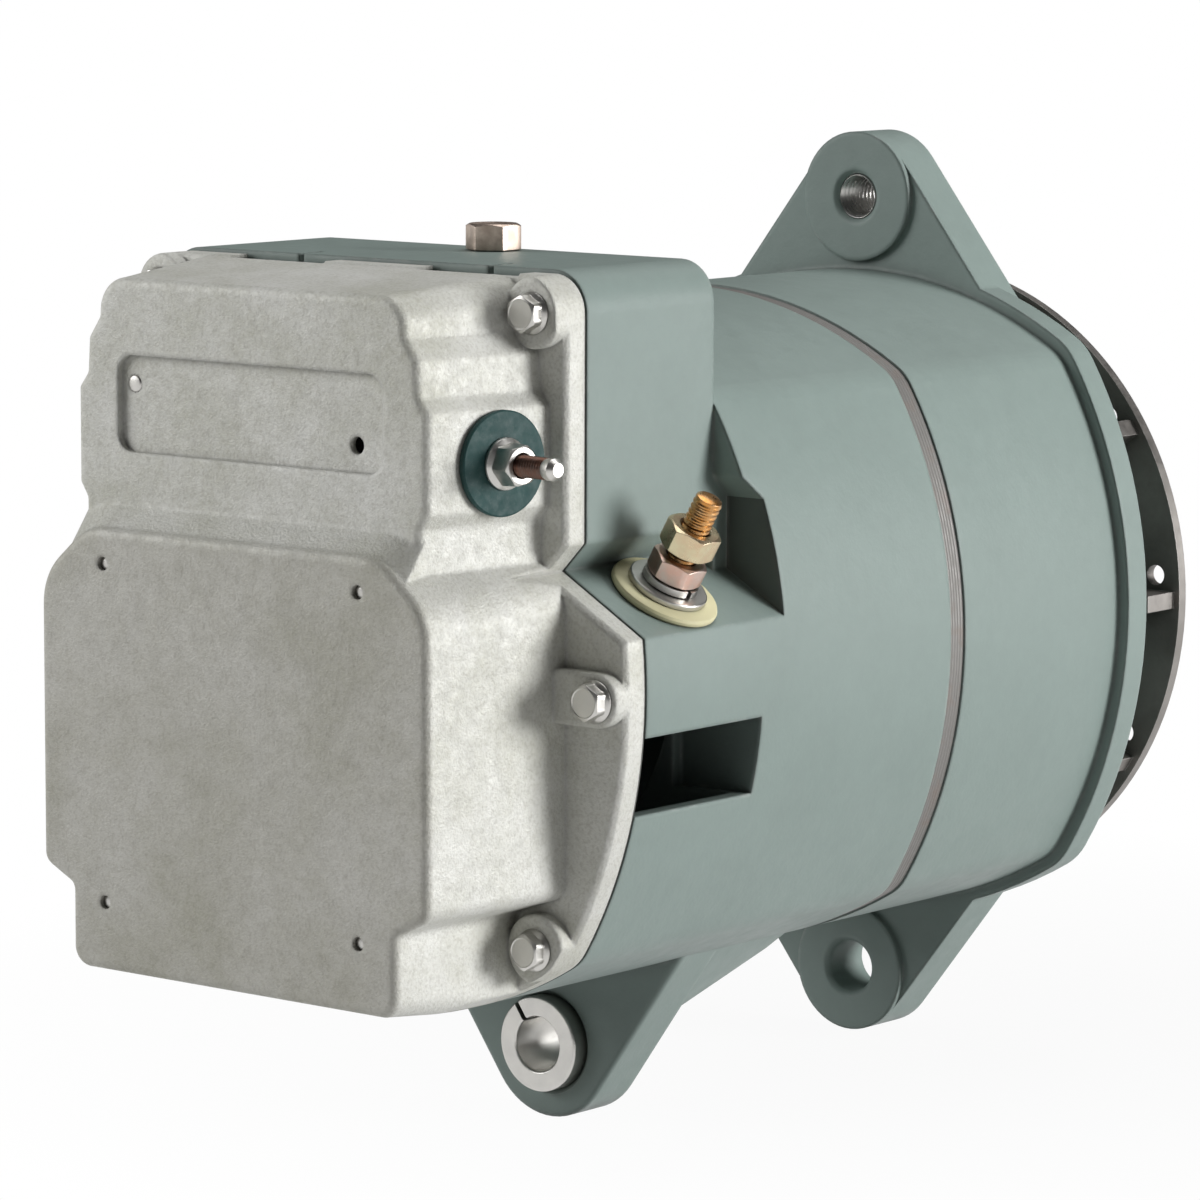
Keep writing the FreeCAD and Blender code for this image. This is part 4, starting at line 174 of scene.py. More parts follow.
class AlternatorStudio(bpy.types.PropertyGroup):
    """Camera and lights."""
    lens: FloatProperty(name="Lens", description="Focal length on a 36 mm sensor", unit="CAMERA",
                        min=1.0, default=167.79)
    azimuth: FloatProperty(name="Azimuth", description="Direction of the camera round the part",
                           subtype="ANGLE", default=math.radians(39.221))
    elevation: FloatProperty(name="Elevation", description="Height of the camera above the horizon",
                             subtype="ANGLE", default=math.radians(7.543))
    roll: FloatProperty(name="Roll", description="Turn of the camera about its view",
                        subtype="ANGLE", default=math.radians(0.192))
    camera_place: FloatVectorProperty(name="Camera place", description="Where the camera stands",
                                      subtype="TRANSLATION", unit="LENGTH", size=3,
                                      default=(0.8019, -1.1170, 0.1739))
    key_power: FloatProperty(name="Key lamp", description="Strength of the lamp on the terminal side",
                             unit="POWER", min=0.0, default=22.5)
    top_power: FloatProperty(name="Top lamp", description="Strength of the lamp above the part",
                             unit="POWER", min=0.0, default=8.0)
    fill_power: FloatProperty(name="Fill lamp", description="Strength of the lamp behind the camera",
                              unit="POWER", min=0.0, default=12.5)
    room_level: plain("Room level", "Strength of the light from the room", 0.048)
    floor_white: plain("Floor white", "Share of the floor's white that no shadow takes away", 0.94)


# Finishes
class Finish:
    """A material being made, with short calls for the nodes that the finishes share."""

    def __init__(self, name):
        self.material = bpy.data.materials.new(name)
        self.material.use_nodes = True
        self.tree = self.material.node_tree
        self.shader = self.tree.nodes["Principled BSDF"]
        self.place = self.tree.nodes.new("ShaderNodeTexCoord").outputs["Object"]

    def feed(self, socket, value):
        if isinstance(value, bpy.types.NodeSocket):
            self.tree.links.new(value, socket)
        elif socket.type == "RGBA":
            socket.default_value = (*value, 1.0)
        else:
            socket.default_value = value

    def node(self, kind, inputs, output=0):
        node = self.tree.nodes.new("ShaderNode" + kind)
        for key, value in inputs.items():
            self.feed(node.inputs[key], value)
        return node.outputs[output]

    def spread(self, stretch):
        return self.node("Mapping", {"Vector": self.place, "Scale": stretch})

    def noise(self, size, detail=3.0, stretch=None):
        place = self.spread(stretch) if stretch else self.place
        return self.node("TexNoise", {"Vector": place, "Scale": 1.0 / size, "Detail": detail,
                                      "Roughness": 0.55})

    def ramp(self, value, low, high, out_low=0.0, out_high=1.0):
        return self.node("MapRange", {"Value": value, "From Min": low, "From Max": high,
                                      "To Min": out_low, "To Max": out_high})

    def maths(self, operation, first, second):
        node = self.tree.nodes.new("ShaderNodeMath")
        node.operation = operation
        self.feed(node.inputs[0], first)
        self.feed(node.inputs[1], second)
        return node.outputs[0]

    def blend(self, factor, first, second):
        """Mixes two colours. Inputs 6 and 7 and output 2 are the colour ones of the node."""
        node = self.tree.nodes.new("ShaderNodeMix")
        node.data_type = "RGBA"
        self.feed(node.inputs[0], factor)
        self.feed(node.inputs[6], first)
        self.feed(node.inputs[7], second)
        return node.outputs[2]

    def bump(self, height, depth, normal):
        return self.node("Bump", {"Height": height, "Distance": depth, "Strength": 1.0, "Normal": normal})

    def rounded(self, radius):
        node = self.tree.nodes.new("ShaderNodeBevel")
        node.samples = 6
        node.inputs["Radius"].default_value = radius
        return node.outputs[0]

    def edges(self, rounded, low=0.99, high=0.86):
        """How strongly a point lies on an edge, from the rounded and the plain normal."""
        plain_normal = self.tree.nodes.new("ShaderNodeNewGeometry").outputs["Normal"]
        node = self.tree.nodes.new("ShaderNodeVectorMath")
        node.operation = "DOT_PRODUCT"
        self.feed(node.inputs[0], rounded)
        self.feed(node.inputs[1], plain_normal)
        return self.ramp(node.outputs["Value"], low, high)

    def corners(self, distance):
        """How closely a point is shut in by its own piece and its neighbours; the finishes darken by it as
        painted shade.
        """
        node = self.tree.nodes.new("ShaderNodeAmbientOcclusion")
        node.samples = 6
        node.inputs["Distance"].default_value = distance
        return self.ramp(node.outputs["AO"], 0.75, 0.25)

    def finish(self, colour, roughness, normal, metallic=0.0, **constants):
        self.feed(self.shader.inputs["Base Color"], colour)
        self.feed(self.shader.inputs["Roughness"], roughness)
        self.feed(self.shader.inputs["Normal"], normal)
        self.shader.inputs["Metallic"].default_value = metallic
        for key, value in constants.items():
            self.shader.inputs[key.replace("_", " ")].default_value = value
        return self.material


def cast_aluminium_finish(tones, sizes):
    """Bare sand-cast aluminium: fine grain, warm stains, bright worn edges, painted shade in corners, and a
    lower face that is duller beige and darkened further as painted shade.
    """
    f = Finish("cast_aluminium_bare")
    soft = f.rounded(sizes.casting_edge)
    stain = f.ramp(f.noise(0.034, 4.0), 0.42, 0.68)
    cloud = f.ramp(f.noise(0.009, 5.0), 0.35, 0.70, 0.0, 0.55)
    speckle = f.ramp(f.noise(0.0009, 2.0), 0.38, 0.60)
    patches = f.maths("MULTIPLY", f.maths("ADD", stain, cloud), 0.5)
    colour = f.blend(patches, tones.cast, tones.cast_stain)
    colour = f.blend(f.maths("MULTIPLY", speckle, 0.30), colour, tones.bare_edge)
    sand = f.ramp(f.noise(0.0008, 2.0), 0.46, 0.66)
    colour = f.blend(f.maths("MULTIPLY", sand, 0.20), colour, tones.cast_shade)
    worn = f.maths("MULTIPLY", f.edges(soft), f.ramp(f.noise(0.004, 3.0), 0.35, 0.6))
    colour = f.blend(f.maths("MULTIPLY", worn, 0.6), colour, tones.bare_edge)
    # Painted shade: darker in corners by ambient occlusion, partly grime.
    colour = f.blend(f.maths("MULTIPLY", f.corners(0.003), 0.45), colour, tones.grime_and_shade)
    # The cover's lower face: a duller beige, darkened further as painted shade.
    step_height = (0.0325, 0.0285)
    step_depth = (-0.2570, -0.2585)
    along = f.node("SeparateXYZ", {"Vector": f.place}, "Y")
    height = f.node("SeparateXYZ", {"Vector": f.place}, "Z")
    lower_face_tint_and_shade = f.maths("MULTIPLY", f.ramp(height, *step_height), f.ramp(along, *step_depth))
    colour = f.blend(f.maths("MULTIPLY", lower_face_tint_and_shade, 0.30), colour, tones.cast_shade)
    rough = f.ramp(f.noise(0.0025, 4.0), 0.3, 0.7, 0.56, 0.74)
    grain = f.bump(f.noise(sizes.casting_grain, 3.0), 0.00016, soft)
    grain = f.bump(f.noise(0.0028, 4.0), 0.00014, grain)
    normal = f.bump(f.noise(0.017, 2.0), 0.0003, grain)
    return f.finish(colour, rough, normal, 0.35)


def frame_paint_finish(tones, sizes):
    """Grey-green paint over a casting: soft ripple, mottling, worn edges that also stand in for a highlight,
    dust and painted shade in corners, and painted shade on the pocket's end wall.
    """
    f = Finish("frame_paint_grey_green")
    soft = f.rounded(sizes.casting_edge)
    cloud = f.ramp(f.noise(0.026, 4.0), 0.35, 0.7)
    fine = f.ramp(f.noise(0.0034, 3.0), 0.35, 0.7)
    shade = f.maths("MULTIPLY", f.maths("ADD", cloud, f.maths("MULTIPLY", fine, 0.5)), 0.5)
    colour = f.blend(f.maths("MULTIPLY", shade, 0.45), tones.frame_paint, tones.frame_shade)
    # Worn edges, also standing in for a painted highlight along the painted edges.
    worn = f.maths("MULTIPLY", f.edges(soft, 0.97, 0.80), f.ramp(f.noise(0.006, 4.0), 0.5, 0.68))
    colour = f.blend(f.maths("MULTIPLY", worn, 0.35), colour, tones.bare_edge)
    # Dust and painted shade: darker in corners by ambient occlusion.
    colour = f.blend(f.maths("MULTIPLY", f.corners(0.006), 0.5), colour, tones.grime_and_shade)
    # Painted shade: the rear-facing end wall of the terminal pocket is darkened towards the grime colour.
    pocket_rear = (-0.1693, -0.1688)
    pocket_front = (-0.1640, -0.1643)
    faces_rear = (-0.7, -0.9)
    along = f.node("SeparateXYZ", {"Vector": f.place}, "Y")
    facing = f.node("SeparateXYZ", {"Vector": f.node("NewGeometry", {}, "True Normal")}, "Y")
    pocket_wall_shade = f.maths("MULTIPLY", f.ramp(along, *pocket_rear), f.ramp(along, *pocket_front))
    pocket_wall_shade = f.maths("MULTIPLY", pocket_wall_shade, f.ramp(facing, *faces_rear))
    colour = f.blend(f.maths("MULTIPLY", pocket_wall_shade, 0.7), colour, tones.grime_and_shade)
    rough = f.ramp(f.noise(0.0045, 4.0), 0.3, 0.7, 0.40, 0.52)
    grain = f.bump(f.noise(sizes.paint_grain, 3.0), 0.00005, soft)
    grain = f.bump(f.noise(0.0042, 3.0), 0.00007, grain)
    normal = f.bump(f.noise(0.021, 2.0), 0.0002, grain)
    return f.finish(colour, rough, normal, 0.0, Specular_IOR_Level=0.42)


def metal_finish(name, base, patch, sizes, tones, **look):
    """Plated, turned or rolled metal: patches, fine lines along one direction and corners darkened as
    painted shade.
    """
    f = Finish(name)
    soft = f.rounded(sizes.plated_edge)
    patches = f.ramp(f.noise(look.get("patch_size", 0.006), 4.0), 0.38, 0.66)
    colour = f.blend(f.maths("MULTIPLY", patches, look.get("patch_share", 0.5)), base, patch)
    # Painted shade: darker in corners by ambient occlusion, partly grime.
    corners = f.corners(look.get("reach", 0.003))
    colour = f.blend(f.maths("MULTIPLY", corners, look.get("dirt", 0.5)), colour, tones.grime_and_shade)
    worn = f.edges(soft)
    colour = f.blend(f.maths("MULTIPLY", worn, look.get("wear", 0.3)), colour, tones.bare_edge)
    low, high = look.get("rough", (0.24, 0.42))
    lines = f.noise(look.get("line", 0.0004), 3.0, look.get("stretch", (1.0, 1.0, 1.0)))
    smear = f.noise(0.0035, 4.0)
    rough = f.ramp(f.maths("ADD", lines, smear), 0.7, 1.3, low, high)
    normal = f.bump(lines, look.get("depth", 0.00002), soft)
    return f.finish(colour, rough, normal, 1.0)


def moulded_finish(name, base, sizes, tones, **look):
    """Moulded plastic, fibre or rubber: faint flow marks, speckle and a fine texture."""
    f = Finish(name)
    soft = f.rounded(sizes.plated_edge)
    flow = f.ramp(f.noise(0.007, 3.0), 0.35, 0.7)
    shade = [value * look.get("shade", 0.7) for value in base]
    colour = f.blend(f.maths("MULTIPLY", flow, 0.5), base, shade)
    fleck = f.ramp(f.noise(0.0009, 3.0), 0.55, 0.75)
    colour = f.blend(f.maths("MULTIPLY", fleck, look.get("fleck", 0.06)), colour, tones.bare_edge)
    # Painted shade: darker in corners by ambient occlusion, partly grime.
    colour = f.blend(f.maths("MULTIPLY", f.corners(0.003), 0.45), colour, tones.grime_and_shade)
    low, high = look.get("rough", (0.45, 0.62))
    rough = f.ramp(f.noise(0.002, 4.0), 0.3, 0.7, low, high)
    normal = f.bump(f.noise(0.0007, 3.0), look.get("depth", 0.00003), soft)
    return f.finish(colour, rough, normal, 0.0)


def lamination_finish(tones, sizes):
    """Stacked core sheets, seen on edge: one line for each sheet, dull with a trace of rust."""
    f = Finish("lamination_stack")
    soft = f.rounded(sizes.plated_edge)
    wave = f.tree.nodes.new("ShaderNodeTexWave")
    wave.bands_direction = "Y"
    f.feed(wave.inputs["Vector"], f.place)
    wave.inputs["Scale"].default_value = 0.314 / sizes.sheet_pitch
    wave.inputs["Distortion"].default_value = 0.4
    wave.inputs["Detail"].default_value = 2.0
    sheets = wave.outputs["Fac"]
    colour = f.blend(f.maths("MULTIPLY", sheets, 0.30), tones.lamination, tones.dark_steel)
    rust = f.ramp(f.noise(0.006, 4.0), 0.52, 0.7, 0.0, 0.25)
    colour = f.blend(rust, colour, tones.copper_dull)
    # Painted shade: darker in corners by ambient occlusion, partly grime.
    colour = f.blend(f.maths("MULTIPLY", f.corners(0.0015), 0.3), colour, tones.grime_and_shade)
    rough = f.ramp(f.noise(0.003, 4.0), 0.3, 0.7, 0.45, 0.65)
    normal = f.bump(sheets, 0.00012, soft)
    return f.finish(colour, rough, normal, 0.35)


def winding_finish(tones, sizes):
    """Varnished copper wire: rounded strands side by side, glossy varnish with darker pools."""
    f = Finish("winding_varnished")
    strands = f.node("TexWave", {"Vector": f.place, "Scale": 260.0, "Distortion": 3.0, "Detail": 1.0},
                     "Fac")
    pools = f.ramp(f.noise(0.006, 3.0), 0.4, 0.65)
    dark = [value * 0.4 for value in tones.winding]
    colour = f.blend(f.maths("MULTIPLY", pools, 0.7), tones.winding, dark)
    rough = f.ramp(f.noise(0.003, 3.0), 0.3, 0.7, 0.22, 0.4)
    normal = f.bump(strands, 0.0003, f.rounded(0.0006))
    return f.finish(colour, rough, normal, 0.6, Coat_Weight=0.5, Coat_Roughness=0.15)


def make_finishes(scene):
    """Every finish of the part, by the record's slot name, with a few of its own for single pieces."""
    tones, sizes = scene.alternator_tones, scene.alternator_sizes
    along_shaft = (1.0, 30.0, 1.0)
    return {
        "frame_paint": frame_paint_finish(tones, sizes),
        "cast_aluminium": cast_aluminium_finish(tones, sizes),
        "laminations": lamination_finish(tones, sizes),
        "copper": winding_finish(tones, sizes),
        "machined_steel": metal_finish("steel_turned", tones.steel, tones.zinc, sizes, tones, line=0.012,
                                       stretch=along_shaft, rough=(0.22, 0.36), depth=0.00001),
        "dark_steel": metal_finish("steel_dark", tones.dark_steel, tones.grime_and_shade, sizes, tones,
                                   rough=(0.38, 0.6), depth=0.00005, wear=0.4),
        "zinc_steel": metal_finish("zinc_clear", tones.zinc, tones.steel, sizes, tones, rough=(0.28, 0.46)),
        "yellow_zinc_steel": metal_finish("zinc_yellow", tones.gold, tones.gold_bloom, sizes, tones,
                                          patch_size=0.004, patch_share=0.7, rough=(0.24, 0.4)),
        "copper_plate": metal_finish("copper_plated", tones.copper_pale, tones.copper_dull, sizes, tones,
                                     patch_size=0.003, patch_share=0.4, rough=(0.3, 0.5)),
        "bearing_steel": metal_finish("steel_polished", tones.steel, tones.zinc, sizes, tones,
                                      rough=(0.10, 0.22), depth=0.000005),
        "gasket_black": moulded_finish("gasket_fibre", tones.gasket, sizes, tones, rough=(0.7, 0.85),
                                       depth=0.00006),
        "teal_plastic": moulded_finish("plastic_teal", tones.teal, sizes, tones, rough=(0.55, 0.72),
                                       fleck=0.03),
        "cream_plastic": moulded_finish("plastic_cream", tones.cream, sizes, tones, shade=0.85),
        "black_plastic": moulded_finish("plastic_black", tones.black, sizes, tones),
        "sink_aluminium": metal_finish("aluminium_extruded", tones.sink, tones.cast_stain, sizes, tones,
                                       line=0.0006, stretch=(1.0, 0.05, 1.0), rough=(0.3, 0.5)),
        "brass": metal_finish("brass_cage", tones.brass, tones.gold, sizes, tones, rough=(0.25, 0.4)),
        # The fan's gaps are darkened strongly by a wide occlusion reach, as painted shade.
        "fan_sheet": metal_finish("fan_sheet_steel", tones.fan, tones.dark_steel, sizes, tones, dirt=0.9,
                                  reach=0.012, patch_size=0.012, patch_share=0.35, rough=(0.40, 0.56),
                                  line=0.0008),
        "stud_bronze": metal_finish("stud_bronze", tones.bronze, tones.dark_steel, sizes, tones,
                                    patch_size=0.003, patch_share=0.5, rough=(0.3, 0.5), wear=0.1),
        "stud_amber": metal_finish("zinc_amber", tones.amber, tones.gold, sizes, tones, patch_size=0.002,
                                   patch_share=0.35, rough=(0.22, 0.36), wear=0.2),
        "pink_nut": metal_finish("copper_pink", tones.copper_plate, tones.zinc, sizes, tones,
                                 patch_size=0.004, patch_share=0.6, rough=(0.28, 0.44)),
    }


NODE_FINISHES = {"fan": "fan_sheet", "front_bearing_cage": "brass", "rear_bearing_cage": "brass"}


def mount_named(name):
    return next(item for item in frame["record"]["mounts"] if item["name"] == name)


def node_slot(node):
    """The record's slot of a model node, from the name of its first material."""
    return node.material_slots[0].material.name.split(".")[0]


# Shapes
def ring_place(verts, ring):
    for vert in verts:
        angle = math.atan2(vert.co.y, vert.co.x)
        radius, height = ring(angle) if callable(ring) else ring
        vert.co = (radius * math.cos(angle), radius * math.sin(angle), height)


def turned_shape(rings, facets, closed=False):
    """A mesh from rings joined in order. A ring is a radius and a height, or a function of the angle
    that gives both."""
    bm = bmesh.new()
    verts = bmesh.ops.create_circle(bm, segments=facets, radius=1.0)["verts"]
    first = edges = list(bm.edges)
    ring_place(verts, rings[0])
    for ring in rings[1:]:
        made = bmesh.ops.extrude_edge_only(bm, edges=edges)["geom"]
        verts = [item for item in made if isinstance(item, bmesh.types.BMVert)]
        own = set(verts)
        edges = [item for item in made
                 if isinstance(item, bmesh.types.BMEdge) and own.issuperset(item.verts)]
        ring_place(verts, ring)
    if closed:
        bmesh.ops.bridge_loops(bm, edges=first + edges)
    else:
        bmesh.ops.holes_fill(bm, edges=first + edges, sides=0)
    bmesh.ops.recalc_face_normals(bm, faces=bm.faces)
    return bm


def hexagon_radius(flats, angle, round_off=0.97):
    within = (angle + HEX_HALF) % math.radians(60.0) - HEX_HALF
    return min(flats / 2 / math.cos(within), flats / math.sqrt(3.0) * round_off)


def hexagon(flats, height, rim=None, sign=1.0):
    """A hexagonal ring. With rim, its corners fall away as a turned chamfer leaves them."""
    def ring(angle):
        radius = hexagon_radius(flats, angle)
        fall = (radius - rim) * math.tan(HEX_HALF) if rim else 0.0
        return radius, height - sign * fall
    return ring


def nut_rings(flats, bore, base, height, chamfer):
    top = base + height
    rim = flats * HEX_RIM
    return [(bore, base + chamfer), (bore + chamfer, base), (rim, base), hexagon(flats, base, rim, -1.0),
            hexagon(flats, top, rim), (rim, top), (bore + chamfer, top), (bore, top - chamfer)]


def head_rings(flats, base, height):
    """The top of a hexagonal screw head, slightly hollow in the middle."""
    top = base + height
    rim = flats * HEX_RIM
    return [hexagon(flats, base), hexagon(flats, top, rim), (rim, top), (rim * 0.82, top - 0.35 * MM)]


def thread_rings(radius, depth, pitch, start, end, steps=8):
    """A screw thread from start to end, as rings whose radius rises and falls along a helix."""
    def ring_at(height):
        def ring(angle):
            phase = (height / pitch - angle / (2 * math.pi)) % 1.0
            return radius - depth * (1.0 - abs(2.0 * phase - 1.0)), height
        return ring
    count = max(2, round((end - start) / pitch * steps))
    return [ring_at(start + (end - start) * step / count) for step in range(count + 1)]


def stud_rings(radius, depth, pitch, start, end, chamfer):
    """A threaded rod whose end has a chamfer."""
    core = radius - depth
    rings = [(core - chamfer, start), (core, start)]
    rings += thread_rings(radius, depth, pitch, start, end - chamfer)
    rings += [(core, end - chamfer * 0.4), (core - chamfer, end)]
    return rings


def washer_rings(outer, bore, base, thickness, chamfer):
    top = base + thickness
    return [(bore, base), (outer - chamfer, base), (outer, base + chamfer), (outer, top - chamfer),
            (outer - chamfer, top), (bore + chamfer, top), (bore, top - chamfer)]


def rings_of(points):
    """Rings from pairs of radius and height in millimetres."""
    return [(radius * MM, height * MM) for radius, height in points]


def in_metres(**millimetres):
    return {name: value * MM for name, value in millimetres.items()}


def washer_shape(facets, **millimetres):
    return turned_shape(washer_rings(**in_metres(**millimetres)), facets, closed=True)


def nut_shape(facets, chamfer, **millimetres):
    return turned_shape(nut_rings(chamfer=chamfer, **in_metres(**millimetres)), facets, closed=True)


def stud_shape(facets, chamfer, pitch, **millimetres):
    return turned_shape(stud_rings(chamfer=chamfer, pitch=pitch, **in_metres(**millimetres)), facets)


def outline_ring(inset, height):
    """A ring along the body's outline, drawn inwards by inset: four broad arcs and tight corner arcs."""
    side, shift = OUTLINE_BROAD - inset, OUTLINE_SHIFT
    bend, corner = OUTLINE_BEND - inset, OUTLINE_CORNER
    quarter = math.pi / 2
    half = math.atan2(corner, corner + shift)
    join = math.atan2(side * math.sin(half), side * math.cos(half) - shift)

    def ring(angle):
        turn = abs((angle + quarter / 2) % quarter - quarter / 2)
        if turn < join:
            return math.sqrt(side ** 2 - (shift * math.sin(turn)) ** 2) - shift * math.cos(turn), height
        across = corner * (math.cos(turn) - math.sin(turn))
        return corner * (math.cos(turn) + math.sin(turn)) + math.sqrt(bend ** 2 - across ** 2), height
    return ring


def merge_in(target, shape):
    """Adds one mesh under construction to another, and lets go of the one that was added."""
    spare = bpy.data.meshes.new("spare")
    shape.to_mesh(spare)
    shape.free()
    target.from_mesh(spare)
    bpy.data.meshes.remove(spare)


def aim(shape, base, axis):
    """Turns a shape that stands on the origin so that it stands on base along axis."""
    turn = Vector(UPWARDS).rotation_difference(Vector(axis)).to_matrix().to_4x4()
    bmesh.ops.transform(shape, matrix=Matrix.Translation(base) @ turn, verts=shape.verts)


def add_piece(name, shape, body, material, nodes, sharp):
    """Makes an object of a mesh under construction, with its place in its mesh, and ties it to its body."""
    mesh = bpy.data.meshes.new(name)
    bmesh.ops.recalc_face_normals(shape, faces=shape.faces)
    shape.to_mesh(mesh)
    shape.free()
    for face in mesh.polygons:
        face.use_smooth = True
    mesh.set_sharp_from_angle(angle=math.radians(sharp))
    mesh.materials.append(material)
    piece = bpy.data.objects.new(name, mesh)
    bpy.context.scene.collection.objects.link(piece)
    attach(piece, body)
    if nodes:
        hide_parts(*nodes)


def middle(node):
    low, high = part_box(node)
    return (Vector(low) + Vector(high)) / 2


def loose_boxes(node):
    """The lowest and highest corner of each separate solid in a model node."""
    bm = bmesh.new()
    bm.from_mesh(frame["nodes"][node].data)
    bmesh.ops.remove_doubles(bm, verts=bm.verts, dist=0.01 * MM)
    waiting = set(bm.verts)
    boxes = []
    while waiting:
        edge_of = [waiting.pop()]
        found = []
        while edge_of:
            vert = edge_of.pop()
            found.append(vert.co.copy())
            for edge in vert.link_edges:
                other = edge.other_vert(vert)
                if other in waiting:
                    waiting.remove(other)
                    edge_of.append(other)
        boxes.append((Vector(min(co[i] for co in found) for i in range(3)),
                      Vector(max(co[i] for co in found) for i in range(3))))
    bm.free()
    return boxes


def split_washer(sweep, bore, outer, base, thickness, rise, steps=44):
    """A spring washer: a square section swept almost once round, its ends a little apart."""
    bm = bmesh.new()
    corners = [(bore, base), (outer, base), (outer, base + thickness), (bore, base + thickness)]
    verts = [bm.verts.new((x, 0.0, z)) for x, z in corners]
    face = bm.faces.new(verts)
    bmesh.ops.spin(bm, geom=verts + list(face.edges) + [face], cent=(0.0, 0.0, 0.0), axis=UPWARDS,
                   dvec=(0.0, 0.0, rise / steps), angle=sweep, steps=steps, use_merge=False,
                   use_duplicate=False)
    bmesh.ops.remove_doubles(bm, verts=bm.verts, dist=0.001 * MM)
    bmesh.ops.recalc_face_normals(bm, faces=bm.faces)
    return bm


def clear_away(name):
    """Takes away a piece of an earlier run."""
    piece = bpy.data.objects.get(name)
    if piece:
        bpy.data.objects.remove(piece)


def finish_named(name):
    """A finish from the table that the finishes operator left."""
    return bpy.data.materials[bpy.context.scene["alternator_finishes"][name]]


def place_piece(name, shape, base, axis, finish, nodes=(), sharp=PLAIN_SHARP, body="frame"):
    """Stands a shape on base along axis and adds it as a piece, in place of an earlier one. Its slot
    has the finish's own name."""
    clear_away(name)
    aim(shape, base, axis)
    add_piece(name, shape, body, finish_named(finish), nodes, sharp)


# Operators
class ALTERNATOR_OT_finishes(bpy.types.Operator):
    """Give every model node its finish"""
    bl_idname = "alternator.finishes"
    bl_label = "Finish the model nodes"

    def execute(self, context):
        finishes = make_finishes(context.scene)
        context.scene["alternator_finishes"] = {name: item.name for name, item in finishes.items()}
        for name, node in frame["nodes"].items():
            chosen = finishes[NODE_FINISHES.get(name, node_slot(node))]
            for slot in node.material_slots:
                slot.link = "OBJECT"
                slot.material = chosen
        return {"FINISHED"}


class ALTERNATOR_OT_output_terminal(bpy.types.Operator):
    """Threaded stud, nuts, washers and insulator on the sloped platform"""
    bl_idname = "alternator.output_terminal"
    bl_label = "Output terminal"

    def execute(self, context):
        sizes = context.scene.alternator_sizes
        facets, chamfer = sizes.facets, sizes.chamfer
        bore = 3.3
        washer_height = 2.75
        washer_middle = middle("output_flat_washer")
        axis = (middle("output_upper_nut") - washer_middle).normalized()
        base = washer_middle - axis * washer_height * MM
        stud = stud_shape(facets, chamfer * 2.0, sizes.output_thread, radius=3.16, depth=0.30,
                          start=-8.5, end=25.5)
        foot, head_height = -12.6 * MM, 4.0 * MM
        head = [hexagon(HEX_FLATS * MM, foot)] + head_rings(HEX_FLATS * MM, foot, head_height)
        merge_in(stud, turned_shape(head, facets))
        place_piece("output_stud_threaded", stud, base, axis, "stud_amber", ["output_stud"],
                    sharp=THREAD_SHARP)
        disc = turned_shape(rings_of([(bore, 0.0), (11.7, 0.0), (12.15, 0.5), (12.2, 1.1), (11.9, 1.7),
                                      (11.2, 2.0), (bore, 2.0)]), facets * 2, closed=True)
        merge_in(disc, washer_shape(facets, outer=5.0, bore=bore, base=-4.6, thickness=4.6, chamfer=0.1))
        merge_in(disc, washer_shape(facets, outer=8.0, bore=bore, base=-7.1, thickness=2.5, chamfer=0.3))
        place_piece("output_disc", disc, base, axis, "cream_plastic", ["output_insulator"])
        flat = washer_shape(facets * 2, outer=8.9, bore=bore, base=2.0, thickness=1.5, chamfer=0.25)
        place_piece("output_washer_flat", flat, base, axis, "zinc_steel", ["output_flat_washer"])
        split = split_washer(math.radians(348.0), **in_metres(bore=3.4, outer=6.3, base=3.5, thickness=1.55,
                                                              rise=0.25))
        place_piece("output_washer_split", split, base, axis, "zinc_steel", ["output_lock_washer"])
        lower = nut_shape(facets, chamfer, flats=HEX_FLATS, bore=3.25, base=5.25, height=4.95)
        place_piece("output_nut_lower", lower, base, axis, "pink_nut", ["output_lower_nut"])
        upper = nut_shape(facets, chamfer, flats=HEX_FLATS, bore=3.25, base=12.0, height=5.8)
        place_piece("output_nut_upper", upper, base, axis, "yellow_zinc_steel", ["output_upper_nut"])
        return {"FINISHED"}


